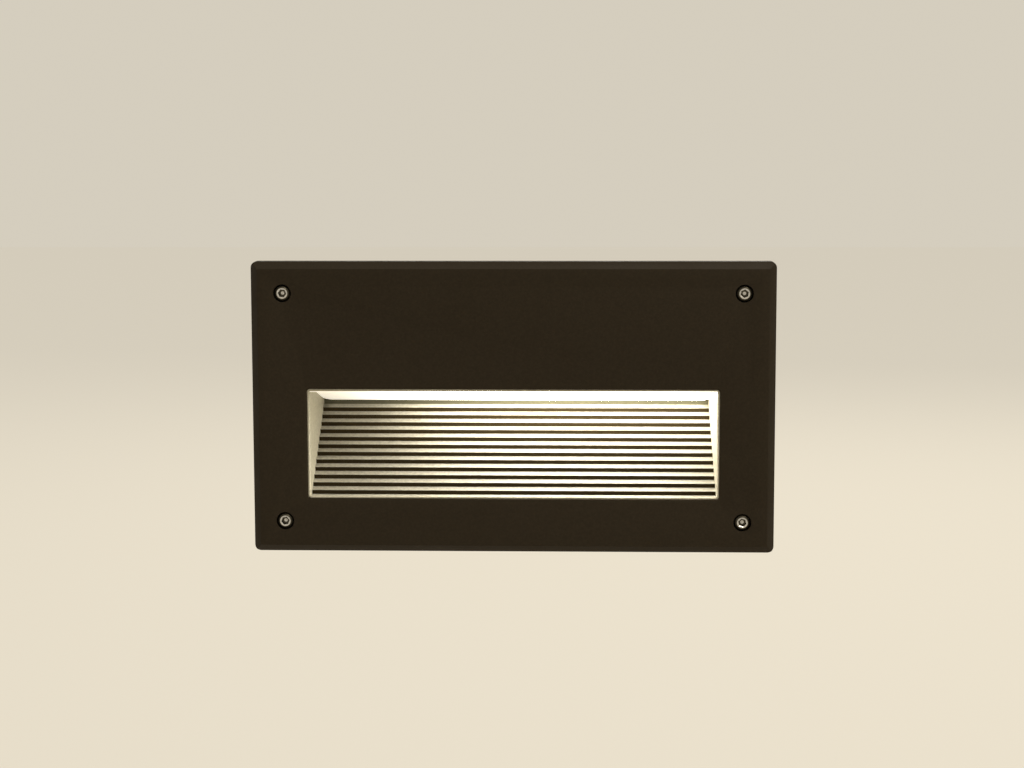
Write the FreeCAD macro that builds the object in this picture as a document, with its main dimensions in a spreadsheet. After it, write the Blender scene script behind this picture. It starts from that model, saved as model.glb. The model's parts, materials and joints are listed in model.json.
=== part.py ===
"""Recessed step light for a brick or block wall, in millimetres.

The wall plane is y = 0, with +Y into the wall, +X to the right and +Z up.
A cast faceplate carries a stepped scoop. A frosted lens is the roof of the scoop,
and a twin tube lamp behind it lights the steps. A cast box in the wall holds the gear.
"""
import FreeCAD, Part
import math
import os
import re

import Sketcher

Vector = FreeCAD.Vector

SIZES = [
    # faceplate
    ("face_deep", 8.0, "faceplate standing off the wall"),
    ("face_bevel", 3.2, "flat bevel round the front"),
    ("face_corner", 3.0, "corner radius in front view"),
    ("skin_thick", 5.2, "front skin of the faceplate"),
    ("window_wide", 184.6, "window for the scoop"),
    ("window_high", 49.6, "window for the scoop"),
    ("window_corner", 1.5, "window corner radius"),
    ("window_side", 24.7, "faceplate beyond the window at each side"),
    ("window_below", 24.5, "faceplate below the window"),
    # face bolts
    ("bolt_inset_side", 14.3, "bolt centres from the sides of the faceplate"),
    ("bolt_inset_end", 14.1, "bolt centres from the top and bottom of the faceplate"),
    ("bolt_dia", 4.0, "face bolt thread"),
    ("bolt_head_dia", 7.0, "face bolt head"),
    ("bolt_head_high", 2.8, "face bolt head"),
    ("bolt_head_ease", 0.4, "rounded edge of the head"),
    ("bolt_sink", 0.2, "head below the front face"),
    ("bolt_grip", 8.0, "thread in the box"),
    ("socket_across", 2.5, "hexagon socket across flats"),
    ("socket_deep", 1.6, "hexagon socket depth"),
    ("counterbore_dia", 8.0, "recess round each bolt head"),
    ("washer_dia", 7.4, "sealing washer"),
    ("washer_thick", 0.6, "sealing washer"),
    ("seal_air", 0.05, "play on each side of a sealing washer"),
    ("bolt_gap", 0.3, "radial gap of a bolt in a clear hole"),
    ("thread_gap", 0.05, "radial gap of a thread in its tapped hole"),
    # seals of the face
    ("face_gasket_thick", 1.6, "gasket between faceplate and box"),
    ("face_gasket_wide", 5.4, "width of the face gasket's frame"),
    ("scoop_gasket_thick", 1.0, "gasket between scoop and faceplate"),
    ("gasket_inset", 0.5, "gasket edge inside the part that it seals"),
    ("rim_air", 0.3, "gap from the face gasket to the box rim"),
    # box in the wall
    ("rim_inset", 8.0, "box rim inside the faceplate's outline"),
    ("rim_corner", 8.0, "box rim corner radius"),
    ("rim_gap", 1.0, "gap from the box rim to the faceplate skirt"),
    ("rim_thick", 4.0, "rim depth along y"),
    ("rim_lip", 4.0, "rim standing proud of the box walls"),
    ("box_wall", 2.5, "box wall"),
    ("box_back", 84.0, "outside of the box's back wall"),
    ("box_corner", 6.0, "corner radius of the box walls"),
    ("boss_dia", 10.0, "corner boss for a face bolt"),
    ("boss_long", 17.0, "corner boss"),
    ("rib_thick", 2.5, "stiffening rib on the box"),
    ("rib_pitch", 62.0, "distance between ribs"),
    ("rib_long", 60.0, "rib length behind the rim"),
    # scoop
    ("spigot_gap", 0.15, "scoop spigot inside the window"),
    ("rim_wall", 1.0, "bright rim round the scoop's mouth"),
    ("rim_recess", 0.6, "scoop rim behind the faceplate's front"),
    ("rim_ease", 0.5, "chamfer on the inner edge of the rim"),
    ("flange_thick", 1.6, "scoop flange"),
    ("flange_side", 4.6, "flange beyond the window at each side"),
    ("flange_high", 8.4, "flange beyond the window, top and bottom"),
    ("draft_angle", 3.0, "draft of the side walls, degrees"),
    ("side_wall", 1.8, "scoop side and back walls"),
    ("floor_thick", 2.0, "scoop floor under the steps"),
    ("sill_deep", 4.4, "flat sill in front of the first step"),
    ("step_count", 12, "steps in the baffle"),
    ("step_deep", 2.82, "depth of a step"),
    ("step_rise", 3.045, "height gained by a step"),
    ("riser_high", 1.31, "upright part of a step"),
    ("top_riser", 2.4, "back wall above the last step"),
    ("lip_deep", 9.9, "level roof behind the rim"),
    ("roof_thick", 2.0, "roof plate that carries the lens"),
    ("seat_side", 7.8, "roof plate beyond the mouth at each side"),
    ("seat_deep", 5.4, "roof plate behind the back wall"),
    ("aperture_gap", 1.0, "lens opening inside the side walls"),
    ("aperture_back", 0.8, "lens opening in front of the back wall"),
    ("aperture_front", 3.0, "lens opening behind the roof's bend"),
    ("aperture_corner", 8.0, "corner radius of the lens opening"),
    ("scoop_screw_dia", 3.0, "scoop screw thread"),
    ("scoop_screw_head", 2.0, "scoop screw head"),
    ("scoop_screw_x", 80.0, "outer scoop screws from the middle"),
    ("scoop_tap_deep", 3.8, "blind hole in the faceplate for a scoop screw"),
    # lens
    ("lens_thick", 3.0, "frosted lens"),
    ("lens_lap", 5.2, "lens beyond its opening at the back"),
    ("lens_side", 5.4, "lens beyond its opening at each side"),
    ("lens_nose", 2.5, "lens beyond its opening at the front"),
    ("lens_gasket_thick", 0.8, "gasket under the lens"),
    ("land_air", 0.3, "lens land inside its opening"),
    ("land_lift", 0.2, "lens land above the roof's underside"),
    ("gasket_back", 0.5, "lens gasket set back from the opening"),
    ("clip_thick", 0.8, "spring clip strip"),
    ("clip_wide", 6.0, "spring clip along the lens edge"),
    ("clip_foot", 4.2, "clip foot beside the lens"),
    ("clip_tongue", 3.4, "clip over the lens"),
    ("clip_first", 7.0, "first clip behind the roof's bend"),
    ("clip_pitch", 19.0, "distance between the clips of a side"),
    ("clip_screw_dia", 2.5, "clip screw thread"),
    ("edge_air", 0.3, "gap beside the lens edge"),
    # gear tray
    ("tray_front", 42.0, "front of the gear tray"),
    ("tray_thick", 1.2, "gear tray sheet"),
    ("tray_air_side", 3.5, "gap from the gear tray to the box sides"),
    ("tray_air_end", 2.0, "gap from the gear tray to the box top and bottom"),
    ("tray_return", 9.0, "folded edge of the gear tray"),
    ("post_dia", 8.0, "box post for a tray screw"),
    ("post_inset_side", 8.5, "post centre from the box side"),
    ("post_inset_end", 21.0, "post centre from the box top or bottom"),
    ("gear_dia", 3.5, "gear screw thread"),
    ("gear_head_dia", 6.5, "gear screw head"),
    ("gear_head_high", 2.4, "gear screw head"),
    ("gear_grip", 6.0, "gear screw thread in its seat"),
    # lamp
    ("tube_dia", 12.0, "lamp tube"),
    ("tube_pitch", 15.5, "distance between the twin tubes"),
    ("tube_long", 109.0, "straight part of a tube"),
    ("bridge_dia", 6.0, "glass bridge between the tubes"),
    ("bridge_back", 4.0, "bridge from the end of the straight part"),
    ("lamp_deep", 20.0, "lamp axis behind the wall plane"),
    ("lamp_above", 21.0, "room from the lamp axis to the box top"),
    ("base_long", 22.0, "lamp base"),
    ("base_deep", 32.0, "lamp base along y"),
    ("base_high", 19.0, "lamp base along z"),
    ("base_ease", 2.0, "rounding of the lamp base"),
    ("starter_long", 19.0, "starter block on the lamp base"),
    ("starter_size", 9.0, "starter block, square"),
    ("pin_dia", 2.4, "lamp pin"),
    ("pin_pitch", 23.0, "distance between the lamp pins"),
    ("pin_long", 7.0, "lamp pin"),
    ("plug_air", 0.3, "gap between lamp base and lampholder"),
    ("pin_gap", 0.08, "radial gap of a pin in its contact"),
    # lampholder and lamp support
    ("holder_long", 23.5, "lampholder along the lamp"),
    ("holder_deep", 36.0, "lampholder along y"),
    ("holder_high", 24.0, "lampholder along z"),
    ("holder_ease", 1.5, "rounding of the lampholder"),
    ("holder_air", 1.0, "gap round the lampholder"),
    ("ear_high", 7.5, "lampholder ear above and below its body"),
    ("ear_long", 12.0, "lampholder ear along x"),
    ("ear_thick", 3.0, "lampholder ear"),
    ("contact_wall", 0.6, "brass contact sleeve"),
    ("cradle_inset", 21.0, "lamp cradle from the end of the tubes"),
    ("cradle_long", 6.0, "lamp cradle along the tubes"),
    ("cradle_wall", 3.0, "lamp cradle round the tubes"),
    ("cradle_neck", 10.6, "open mouth of the cradle under each tube"),
    ("tube_air", 0.3, "gap between tube and cradle"),
    # reflector
    ("mirror_front", 3.0, "front edge of the reflector"),
    ("mirror_start", 4.0, "reflector from the lamp base"),
    ("mirror_air", 2.75, "gap from the reflector to a tray screw"),
    ("mirror_above", 17.0, "reflector above the lamp axis"),
    ("mirror_below", 16.0, "reflector below the lamp axis"),
    ("mirror_thick", 0.8, "reflector sheet"),
    ("mirror_bend", 7.0, "reflector corner radius inside"),
    # ballast behind the tray
    ("ballast_inset", 36.0, "ballast core from the posts"),
    ("ballast_height", 24.0, "ballast axis above the box floor"),
    ("ballast_long", 54.0, "ballast core"),
    ("ballast_deep", 27.0, "ballast core along y"),
    ("ballast_high", 36.0, "ballast core along z"),
    ("bracket_thick", 1.2, "ballast bracket sheet"),
    ("bracket_foot", 16.0, "bracket beyond the core at each end"),
    ("bracket_grip", 12.0, "bracket tab along the core"),
    ("coil_deep", 15.0, "coil through the core along y"),
    ("coil_high", 20.0, "coil through the core along z"),
    ("coil_head", 8.0, "coil beyond the core at each end"),
    ("push_block", 12.0, "push-in terminal of the ballast"),
    # terminals in front of the tray
    ("block_inset", 14.5, "terminal block from the box side"),
    ("block_height", 15.0, "terminal block centre above the box floor"),
    ("block_long", 36.0, "terminal block"),
    ("block_deep", 15.0, "terminal block along y"),
    ("block_high", 19.0, "terminal block along z"),
    ("block_ways", 3, "ways in the terminal block"),
    ("way_dia", 4.2, "wire hole of a way"),
    ("way_rim", 3.0, "body in front of a wire hole"),
    ("way_screw_dia", 3.4, "terminal screw"),
    ("stud_gap", 9.0, "earth stud from the terminal block"),
    ("stud_height", 13.0, "earth stud above the box floor"),
    ("stud_long", 11.0, "earth stud in front of the tray"),
    ("nut_across", 7.0, "earth nut across flats"),
    ("nut_high", 3.2, "earth nut"),
    ("lug_thick", 0.8, "ring lug of the earth wire"),
    ("grommet_back", 8.0, "grommet from the right end of the terminal block"),
    ("grommet_height", 37.0, "grommet above the box floor"),
    ("grommet_dia", 12.0, "hole in the tray for the grommet"),
    ("grommet_lip", 2.0, "grommet lip"),
    ("grommet_bore", 7.0, "way through the grommet"),
    # cable entries in the back wall
    ("entry_place", 45.0, "entries each side of the middle"),
    ("entry_height", 77.0, "entries above the box floor"),
    ("entry_dia", 20.0, "entry thread"),
    ("entry_boss_dia", 30.0, "thick pad inside the back wall"),
    ("entry_boss_high", 2.5, "thick pad inside the back wall"),
    ("oring_thick", 1.5, "seal under an entry fitting"),
    ("oring_wide", 2.6, "seal under an entry fitting"),
    ("gland_hex", 24.0, "gland body across flats"),
    ("gland_hex_long", 6.0, "gland body"),
    ("gland_neck_dia", 18.0, "gland thread under the dome nut"),
    ("gland_neck_long", 7.5, "gland thread under the dome nut"),
    ("gland_bore", 12.4, "way through the gland body"),
    ("dome_dia", 24.0, "gland dome nut"),
    ("dome_long", 15.0, "gland dome nut"),
    ("dome_ease", 4.0, "rounded nose of the dome nut"),
    ("dome_mouth", 10.4, "mouth of the dome nut"),
    ("insert_dia", 14.2, "rubber insert that grips the cable"),
    ("insert_long", 10.0, "rubber insert"),
    ("cable_dia", 9.0, "bore of the rubber insert"),
    ("locknut_across", 27.0, "gland locknut"),
    ("locknut_long", 5.0, "gland locknut"),
    ("plug_head_dia", 26.0, "blanking plug head"),
    ("plug_head_long", 4.0, "blanking plug head"),
    ("plug_slot", 2.4, "slot across the blanking plug"),
    # wall fixings
    ("fixing_dia", 5.5, "hole for a wall screw"),
    ("fixing_inset_side", 22.5, "wall screw from the box side"),
    ("fixing_inset_end", 13.0, "wall screw from the box top or bottom"),
    # wiring
    ("wire_dia", 2.2, "insulated wire"),
    ("wire_bend", 3.0, "bend radius of a wire"),
]
NAMES = {name for name, size, note in SIZES}

PLACES = {
    "window_above": "flange_high + holder_air + holder_high / 2 + lamp_above + wall_above",
    "wall_above": "box_wall + rim_lip + rim_inset",
    "face_wide": "window_wide + 2 * window_side",
    "face_high": "window_below + window_high + window_above",
    "window_base": "window_below - face_high / 2",
    "face_front": "-face_deep",
    "skin_back": "skin_thick - face_deep",
    "bolt_x": "face_wide / 2 - bolt_inset_side",
    "bolt_z": "face_high / 2 - bolt_inset_end",
    "head_front": "bolt_sink - face_deep",
    "head_back": "head_front + bolt_head_high",
    "washer_front": "head_back + seal_air",
    "washer_back": "washer_front + washer_thick",
    "seat_front": "washer_back + seal_air",
    "box_front": "skin_back + face_gasket_thick + rim_air",
    "rim_half_wide": "face_wide / 2 - rim_inset",
    "rim_half_high": "face_high / 2 - rim_inset",
    "wall_half_wide": "rim_half_wide - rim_lip",
    "wall_half_high": "rim_half_high - rim_lip",
    "room_half_wide": "wall_half_wide - box_wall",
    "room_half_high": "wall_half_high - box_wall",
    "room_back": "box_back - box_wall",
    "window_top": "window_base + window_high",
    "rim_front": "rim_recess - face_deep",
    "flange_front": "skin_back + scoop_gasket_thick",
    "flange_back": "flange_front + flange_thick",
    "flange_half": "window_wide / 2 + flange_side",
    "flange_low": "window_base - flange_high",
    "flange_top": "window_top + flange_high",
    "spigot_half": "window_wide / 2 - spigot_gap",
    "spigot_low": "window_base + spigot_gap",
    "spigot_top": "window_top - spigot_gap",
    "mouth_half": "spigot_half - rim_wall",
    "sill": "spigot_low + rim_wall",
    "roof": "spigot_top - rim_wall",
    "step_front": "rim_front + sill_deep",
    "scoop_back": "step_front + step_count * step_deep",
    "shell_back": "scoop_back + side_wall",
    "step_top": "sill + step_count * step_rise",
    "roof_back": "step_top + top_riser",
    "roof_bend": "rim_front + lip_deep",
    "roof_fall": "(roof - roof_back) / (scoop_back - roof_bend)",
    "roof_stretch": "sqrt(1 + roof_fall * roof_fall)",
    "floor_drop": "floor_thick * sqrt(1 + (step_rise / step_deep) ^ 2)",
    "seat_back": "scoop_back + seat_deep",
    "seat_half": "mouth_half + seat_side",
    "aperture_low": "roof_bend + aperture_front",
    "aperture_high": "scoop_back - aperture_back",
    "aperture_half": "mouth_half - tan(draft_angle * 1 deg) * (scoop_back - rim_front) - aperture_gap",
    "lens_front": "aperture_low - lens_nose",
    "lens_back": "aperture_high + lens_lap",
    "lens_half": "aperture_half + lens_side",
    "tray_back": "tray_front + tray_thick",
    "tray_half_wide": "room_half_wide - tray_air_side",
    "tray_half_high": "room_half_high - tray_air_end",
    "post_x": "room_half_wide - post_inset_side",
    "post_z": "room_half_high - post_inset_end",
    "lamp_level": "room_half_high - lamp_above",
    "holder_left": "gear_head_dia / 2 + holder_air - post_x",
    "holder_right": "holder_left + holder_long",
    "lamp_root": "holder_right + plug_air",
    "lamp_start": "lamp_root + base_long",
    "lamp_end": "lamp_start + tube_long",
    "cradle_place": "lamp_end - cradle_inset",
    "mirror_left": "lamp_start + mirror_start",
    "mirror_right": "post_x - gear_head_dia / 2 - mirror_air",
    "mirror_top": "lamp_level + mirror_above",
    "mirror_foot": "lamp_level - mirror_below",
    "holder_front": "lamp_deep - holder_deep / 2",
    "ear_level": "holder_high / 2 + ear_high / 2",
    "core_right": "post_x - ballast_inset",
    "ballast_left": "core_right - ballast_long",
    "ballast_level": "ballast_height - room_half_high",
    "core_front": "tray_back + bracket_thick",
    "core_middle": "core_front + ballast_deep / 2",
    "block_left": "block_inset - room_half_wide",
    "block_right": "block_left + block_long",
    "block_level": "block_height - room_half_high",
    "stud_place": "block_right + stud_gap",
    "stud_level": "stud_height - room_half_high",
    "grommet_place": "block_right - grommet_back",
    "grommet_level": "grommet_height - room_half_high",
    "block_front": "tray_front - block_deep",
    "block_pitch": "block_long / block_ways",
    "entry_level": "entry_height - room_half_high",
    "pad_front": "room_back - entry_boss_high",
    "oring_back": "box_back + oring_thick",
    "hex_back": "oring_back + gland_hex_long",
    "neck_back": "hex_back + gland_neck_long",
}

doc = FreeCAD.newDocument("StepLight")
sheet = doc.addObject("Spreadsheet::Sheet", "Sizes")
nodes = []


def fill_sheet():
    """Write each named size into the sheet as a plain number with an alias."""
    for row, (name, size, note) in enumerate(SIZES, start=1):
        sheet.set(f"A{row}", name)
        sheet.set(f"B{row}", str(size))
        sheet.set(f"C{row}", note)
        sheet.setAlias(f"B{row}", name)
    doc.recompute()


def formula(text):
    """Spell an expression of named sizes and places with the sheet's aliases."""

    def spell(match):
        word = match.group(0)
        if word in PLACES:
            return "(" + formula(PLACES[word]) + ")"
        return "Sizes." + word if word in NAMES else word

    return re.sub(r"[a-z][a-z_]*", spell, str(text))


def value(text):
    """Work an expression out to a number."""
    return float(sheet.evalExpression(formula(text)))


def bind(item, target, text):
    item.setExpression(target, formula(text))


def node(item):
    """Keep a finished piece for export under its label."""
    nodes.append(item)
    return item


# ---- primitives and booleans -------------------------------------------------


def move(item, spot):
    for letter, text in zip("xyz", spot):
        bind(item, "Placement.Base." + letter, text)


def block(name, x, y, z):
    """Box between two planes along each axis."""
    item = doc.addObject("Part::Box", name)
    for side, (low, high) in zip(("Length", "Width", "Height"), (x, y, z)):
        bind(item, side, f"({high}) - ({low})")
    move(item, (x[0], y[0], z[0]))
    return item


AXIS_TURNS = {
    "X": FreeCAD.Rotation(Vector(0, 1, 0), 90),
    "Y": FreeCAD.Rotation(Vector(1, 0, 0), -90),
    "Z": FreeCAD.Rotation(),
}


def stand(item, axis, centre, span):
    """Lay a round piece along an axis; centre holds its two other coordinates."""
    item.Placement.Rotation = AXIS_TURNS[axis]
    bind(item, "Height", f"({span[1]}) - ({span[0]})")
    spot = list(centre)
    spot.insert("XYZ".index(axis), span[0])
    move(item, spot)
    return item


def rod(name, axis, centre, span, radius):
    item = doc.addObject("Part::Cylinder", name)
    bind(item, "Radius", radius)
    return stand(item, axis, centre, span)


def taper(name, axis, centre, span, start, end):
    item = doc.addObject("Part::Cone", name)
    bind(item, "Radius1", start)
    bind(item, "Radius2", end)
    return stand(item, axis, centre, span)


def hexagon(name, axis, centre, span, across):
    item = doc.addObject("Part::Prism", name)
    item.Polygon = 6
    bind(item, "Circumradius", f"({across}) / sqrt(3)")
    return stand(item, axis, centre, span)


def fuse(name, *pieces):
    item = doc.addObject("Part::MultiFuse", name)
    item.Shapes = list(pieces)
    return item


def cut(name, base, *tools):
    item = doc.addObject("Part::Cut", name)
    item.Base = base
    item.Tool = tools[0] if len(tools) == 1 else fuse(name + "_tools", *tools)
    return item


def group(name, pieces):
    """Several separate solids under one label."""
    item = doc.addObject("Part::Compound", name)
    item.Links = list(pieces)
    return item


# ---- bodies and sketches -----------------------------------------------------


def new_body(name):
    return doc.addObject("PartDesign::Body", name)


def sketch(owner, name, role, level):
    """Sketch on one of the body's own planes, moved along the plane's normal."""
    item = owner.newObject("Sketcher::SketchObject", name)
    planes = [plane for plane in owner.Origin.OriginFeatures if plane.Role == role]
    item.AttachmentSupport = [(planes[0], "")]
    item.MapMode = "FlatFace"
    bind(item, "AttachmentOffset.Base.z", level)
    return item


def front_sketch(owner, name, y):
    """Sketch in front view, in X and Z, at depth y."""
    return sketch(owner, name, "XZ_Plane", f"-({y})")


def side_sketch(owner, name):
    """Sketch in side view, in Y and Z, on the middle plane."""
    return sketch(owner, name, "YZ_Plane", "0")


def plan_sketch(owner, name):
    """Sketch in plan, in X and Y, on the middle plane."""
    return sketch(owner, name, "XY_Plane", "0")


def hold(item, shape, end, spot):
    """Fix a point of a sketch by its two coordinates."""
    for kind, text in zip(("DistanceX", "DistanceY"), spot):
        rule = Sketcher.Constraint(kind, -1, 1, shape, end, value(text))
        number = item.addConstraint(rule)
        bind(item, f"Constraints[{number}]", text)


def outline(item, points):
    """Draw a closed polygon."""
    first = item.GeometryCount
    spots = [Vector(value(u), value(v), 0) for u, v in points]
    count = len(points)
    for n in range(count):
        item.addGeometry(Part.LineSegment(spots[n], spots[(n + 1) % count]), False)
    for n in range(count):
        following = first + (n + 1) % count
        item.addConstraint(Sketcher.Constraint("Coincident", first + n, 2, following, 1))
        hold(item, first + n, 1, points[n])


def circle(item, centre, radius):
    spot = Vector(value(centre[0]), value(centre[1]), 0)
    shape = item.addGeometry(Part.Circle(spot, Vector(0, 0, 1), value(radius)), False)
    hold(item, shape, 3, centre)
    number = item.addConstraint(Sketcher.Constraint("Radius", shape, value(radius)))
    bind(item, f"Constraints[{number}]", radius)


def rounded(item, u, v, radius):
    """Draw a rectangle with round corners between two values of u and of v."""
    first = item.GeometryCount
    near_u, far_u = f"({u[0]}) + ({radius})", f"({u[1]}) - ({radius})"
    near_v, far_v = f"({v[0]}) + ({radius})", f"({v[1]}) - ({radius})"
    ends = [
        ((near_u, v[0]), (far_u, v[0])),
        ((u[1], near_v), (u[1], far_v)),
        ((far_u, v[1]), (near_u, v[1])),
        ((u[0], far_v), (u[0], near_v)),
    ]
    for start, end in ends:
        line = [Vector(value(a), value(b), 0) for a, b in (start, end)]
        item.addGeometry(Part.LineSegment(*line), False)
    centres = [(far_u, near_v), (far_u, far_v), (near_u, far_v), (near_u, near_v)]
    for n, centre in enumerate(centres):
        middle = Vector(value(centre[0]), value(centre[1]), 0)
        ring = Part.Circle(middle, Vector(0, 0, 1), value(radius))
        start = math.radians(90 * n - 90)
        item.addGeometry(Part.ArcOfCircle(ring, start, start + math.pi / 2), False)
    for n, centre in enumerate(centres):
        line, arc, following = first + n, first + 4 + n, first + (n + 1) % 4
        item.addConstraint(Sketcher.Constraint("Tangent", line, 2, arc, 1))
        item.addConstraint(Sketcher.Constraint("Tangent", arc, 2, following, 1))
        hold(item, arc, 3, centre)
        number = item.addConstraint(Sketcher.Constraint("Radius", arc, value(radius)))
        bind(item, f"Constraints[{number}]", radius)


def pad(owner, profile, length, side="One side"):
    """Grow material; a front sketch's pad grows along +Y."""
    item = owner.newObject("PartDesign::Pad", profile.Name + "_pad")
    item.Profile = profile
    item.SideType = side
    item.Reversed = side == "One side"
    bind(item, "Length", length)
    owner.Tip = item
    return item


def pocket(owner, profile, length, side="One side"):
    """Take material away; a front sketch's pocket cuts along +Y."""
    item = owner.newObject("PartDesign::Pocket", profile.Name + "_pocket")
    item.Profile = profile
    item.SideType = side
    bind(item, "Length", length)
    owner.Tip = item
    return item


def edges_along(feature, direction, inside=None):
    """Names of a feature's straight edges along a direction, inside a box if one is given."""
    doc.recompute()
    names = []
    for number, edge in enumerate(feature.Shape.Edges, start=1):
        if edge.Curve.TypeId != "Part::GeomLine":
            continue
        along = edge.tangentAt(edge.FirstParameter)
        middle = edge.CenterOfMass
        if abs(along.dot(direction)) > 0.999 and (inside is None or inside.isInside(middle)):
            names.append(f"Edge{number}")
    return names


def front_face(feature):
    """Name of the planar face that lies furthest to the front."""
    doc.recompute()
    faces = enumerate(feature.Shape.Faces, start=1)
    flat = [(face.CenterOfMass.y, number) for number, face in faces if abs(face.normalAt(0, 0).y) > 0.999]
    return f"Face{min(flat)[1]}"


def corners(x, z):
    """The four mirrored places of a point in front view, in order round the middle."""
    return [(f"{a}({x})", f"{b}({z})") for a, b in (("-", ""), ("", ""), ("", "-"), ("-", "-"))]


# ---- faceplate ---------------------------------------------------------------


def make_faceplate():
    body = new_body("faceplate")
    plate = front_sketch(body, "plate_outline", "face_front")
    half_wide, half_high = "face_wide / 2", "face_high / 2"
    outline(plate, corners(half_wide, half_high))
    slab = pad(body, plate, "face_deep")
    bevel = body.newObject("PartDesign::Chamfer", "plate_bevel")
    bevel.Base = (slab, [front_face(slab)])
    bind(bevel, "Size", "face_bevel")
    body.Tip = bevel
    trim = front_sketch(body, "plate_corners", "face_front")
    outline(trim, corners("face_wide", "face_high"))
    rounded(trim, (f"-{half_wide}", half_wide), (f"-{half_high}", half_high), "face_corner")
    pocket(body, trim, "face_deep")
    room = front_sketch(body, "plate_room", "skin_back")
    wide, high = "rim_half_wide + rim_gap", "rim_half_high + rim_gap"
    rounded(room, (f"-({wide})", wide), (f"-({high})", high), "rim_corner + rim_gap")
    pocket(body, room, "face_deep")
    window = front_sketch(body, "plate_window", "face_front")
    rounded(window, ("-window_wide / 2", "window_wide / 2"), ("window_base", "window_top"), "window_corner")
    pocket(body, window, "face_deep")
    bores = front_sketch(body, "plate_counterbores", "face_front")
    holes = front_sketch(body, "plate_bolt_holes", "face_front")
    for spot in corners("bolt_x", "bolt_z"):
        circle(bores, spot, "counterbore_dia / 2")
        circle(holes, spot, "bolt_dia / 2 + bolt_gap")
    pocket(body, bores, "seat_front - face_front")
    pocket(body, holes, "face_deep")
    taps = front_sketch(body, "plate_scoop_taps", "skin_back - scoop_tap_deep")
    for spot in scoop_screw_spots():
        circle(taps, spot, "scoop_screw_dia / 2 + thread_gap")
    pocket(body, taps, "scoop_tap_deep")
    return node(body)


def make_face_gasket():
    body = new_body("face_gasket")
    frame = front_sketch(body, "gasket_frame", "skin_back")
    wide, high = "rim_half_wide - gasket_inset", "rim_half_high - gasket_inset"
    rounded(frame, (f"-({wide})", wide), (f"-({high})", high), "rim_corner - gasket_inset")
    pad(body, frame, "face_gasket_thick")
    room = front_sketch(body, "gasket_room", "skin_back")
    wide, high = f"{wide} - face_gasket_wide", f"{high} - face_gasket_wide"
    rounded(room, (f"-({wide})", wide), (f"-({high})", high), "window_corner")
    pocket(body, room, "face_gasket_thick")
    lobes = front_sketch(body, "gasket_lobes", "skin_back")
    holes = front_sketch(body, "gasket_holes", "skin_back")
    for spot in corners("bolt_x", "bolt_z"):
        circle(lobes, spot, "boss_dia / 2 - gasket_inset / 2")
        circle(holes, spot, "bolt_dia / 2 + bolt_gap + gasket_inset")
    pad(body, lobes, "face_gasket_thick")
    pocket(body, holes, "face_gasket_thick")
    return node(body)


def make_face_bolt(number, spot):
    """Socket head bolt and the black washer that seals it."""
    name = f"face_screw_{number}"
    head = rod(name + "_head", "Y", spot, ("head_front + bolt_head_ease", "head_back"), "bolt_head_dia / 2")
    ease = taper(
        name + "_ease",
        "Y",
        spot,
        ("head_front", "head_front + bolt_head_ease"),
        "bolt_head_dia / 2 - bolt_head_ease",
        "bolt_head_dia / 2",
    )
    shank = rod(name + "_shank", "Y", spot, ("head_back", "box_front + bolt_grip"), "bolt_dia / 2")
    whole = fuse(name + "_whole", head, ease, shank)
    socket = hexagon(name + "_socket", "Y", spot, ("head_front", "head_front + socket_deep"), "socket_across")
    node(cut(name, whole, socket))
    name = f"screw_seal_{number}"
    ring = rod(name + "_ring", "Y", spot, ("washer_front", "washer_back"), "washer_dia / 2")
    hole = rod(name + "_hole", "Y", spot, ("washer_front", "washer_back"), "bolt_dia / 2 + thread_gap")
    node(cut(name, ring, hole))


# ---- scoop -------------------------------------------------------------------


def scoop_screw_spots():
    """Places of the screws that hold the scoop's flange."""
    rows = ("window_top + flange_high / 2", "window_base - flange_high / 2")
    return [(x, z) for z in rows for x in ("-scoop_screw_x", "0", "scoop_screw_x")]


def roof_line(y, lift="0"):
    """Height of the sloping roof at y, raised square to its slope by lift."""
    return f"roof - roof_fall * (({y}) - roof_bend) + ({lift}) * roof_stretch"


def inner_half(y):
    """Half the width between the drafted side walls at depth y."""
    return f"mouth_half - tan(draft_angle * 1 deg) * (({y}) - rim_front)"


def trim_sides(owner, name, low, high, extra="0"):
    """Cut both sides of a body to the draft of the side walls."""
    plan = plan_sketch(owner, name)
    far = "face_wide"
    near_low, near_high = f"{inner_half(low)} + ({extra})", f"{inner_half(high)} + ({extra})"
    for sign in ("", "-"):
        points = [(near_low, low), (far, low), (far, high), (near_high, high)]
        outline(plan, [(f"{sign}({x})", y) for x, y in points])
    pocket(owner, plan, "face_high * 2", "Symmetric")


def make_scoop_shell():
    """Spigot, flange and the drafted shell behind them, still solid."""
    body = new_body("scoop_shell")
    shell = side_sketch(body, "shell_side")
    floor = f"sill - floor_drop + step_rise / step_deep * (flange_front - step_front)"
    rear = f"sill - floor_drop + step_rise / step_deep * (shell_back - step_front)"
    outline(
        shell,
        [
            ("flange_front", floor),
            ("shell_back", rear),
            ("shell_back", roof_line("shell_back")),
            ("roof_bend", "roof"),
            ("flange_front", "roof"),
        ],
    )
    pad(body, shell, "face_wide", "Symmetric")
    trim_sides(body, "shell_plan", "flange_front - 1", "shell_back + 1", "side_wall")
    spigot = front_sketch(body, "spigot_outline", "rim_front")
    across, upright = ("-spigot_half", "spigot_half"), ("spigot_low", "spigot_top")
    rounded(spigot, across, upright, "window_corner - spigot_gap")
    pad(body, spigot, "flange_front - rim_front")
    flange = front_sketch(body, "flange_outline", "flange_front")
    rounded(flange, ("-flange_half", "flange_half"), ("flange_low", "flange_top"), "face_corner")
    pad(body, flange, "flange_thick")
    holes = front_sketch(body, "flange_holes", "flange_front")
    for spot in scoop_screw_spots():
        circle(holes, spot, "scoop_screw_dia / 2 + bolt_gap")
    pocket(body, holes, "flange_thick")
    return body


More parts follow.
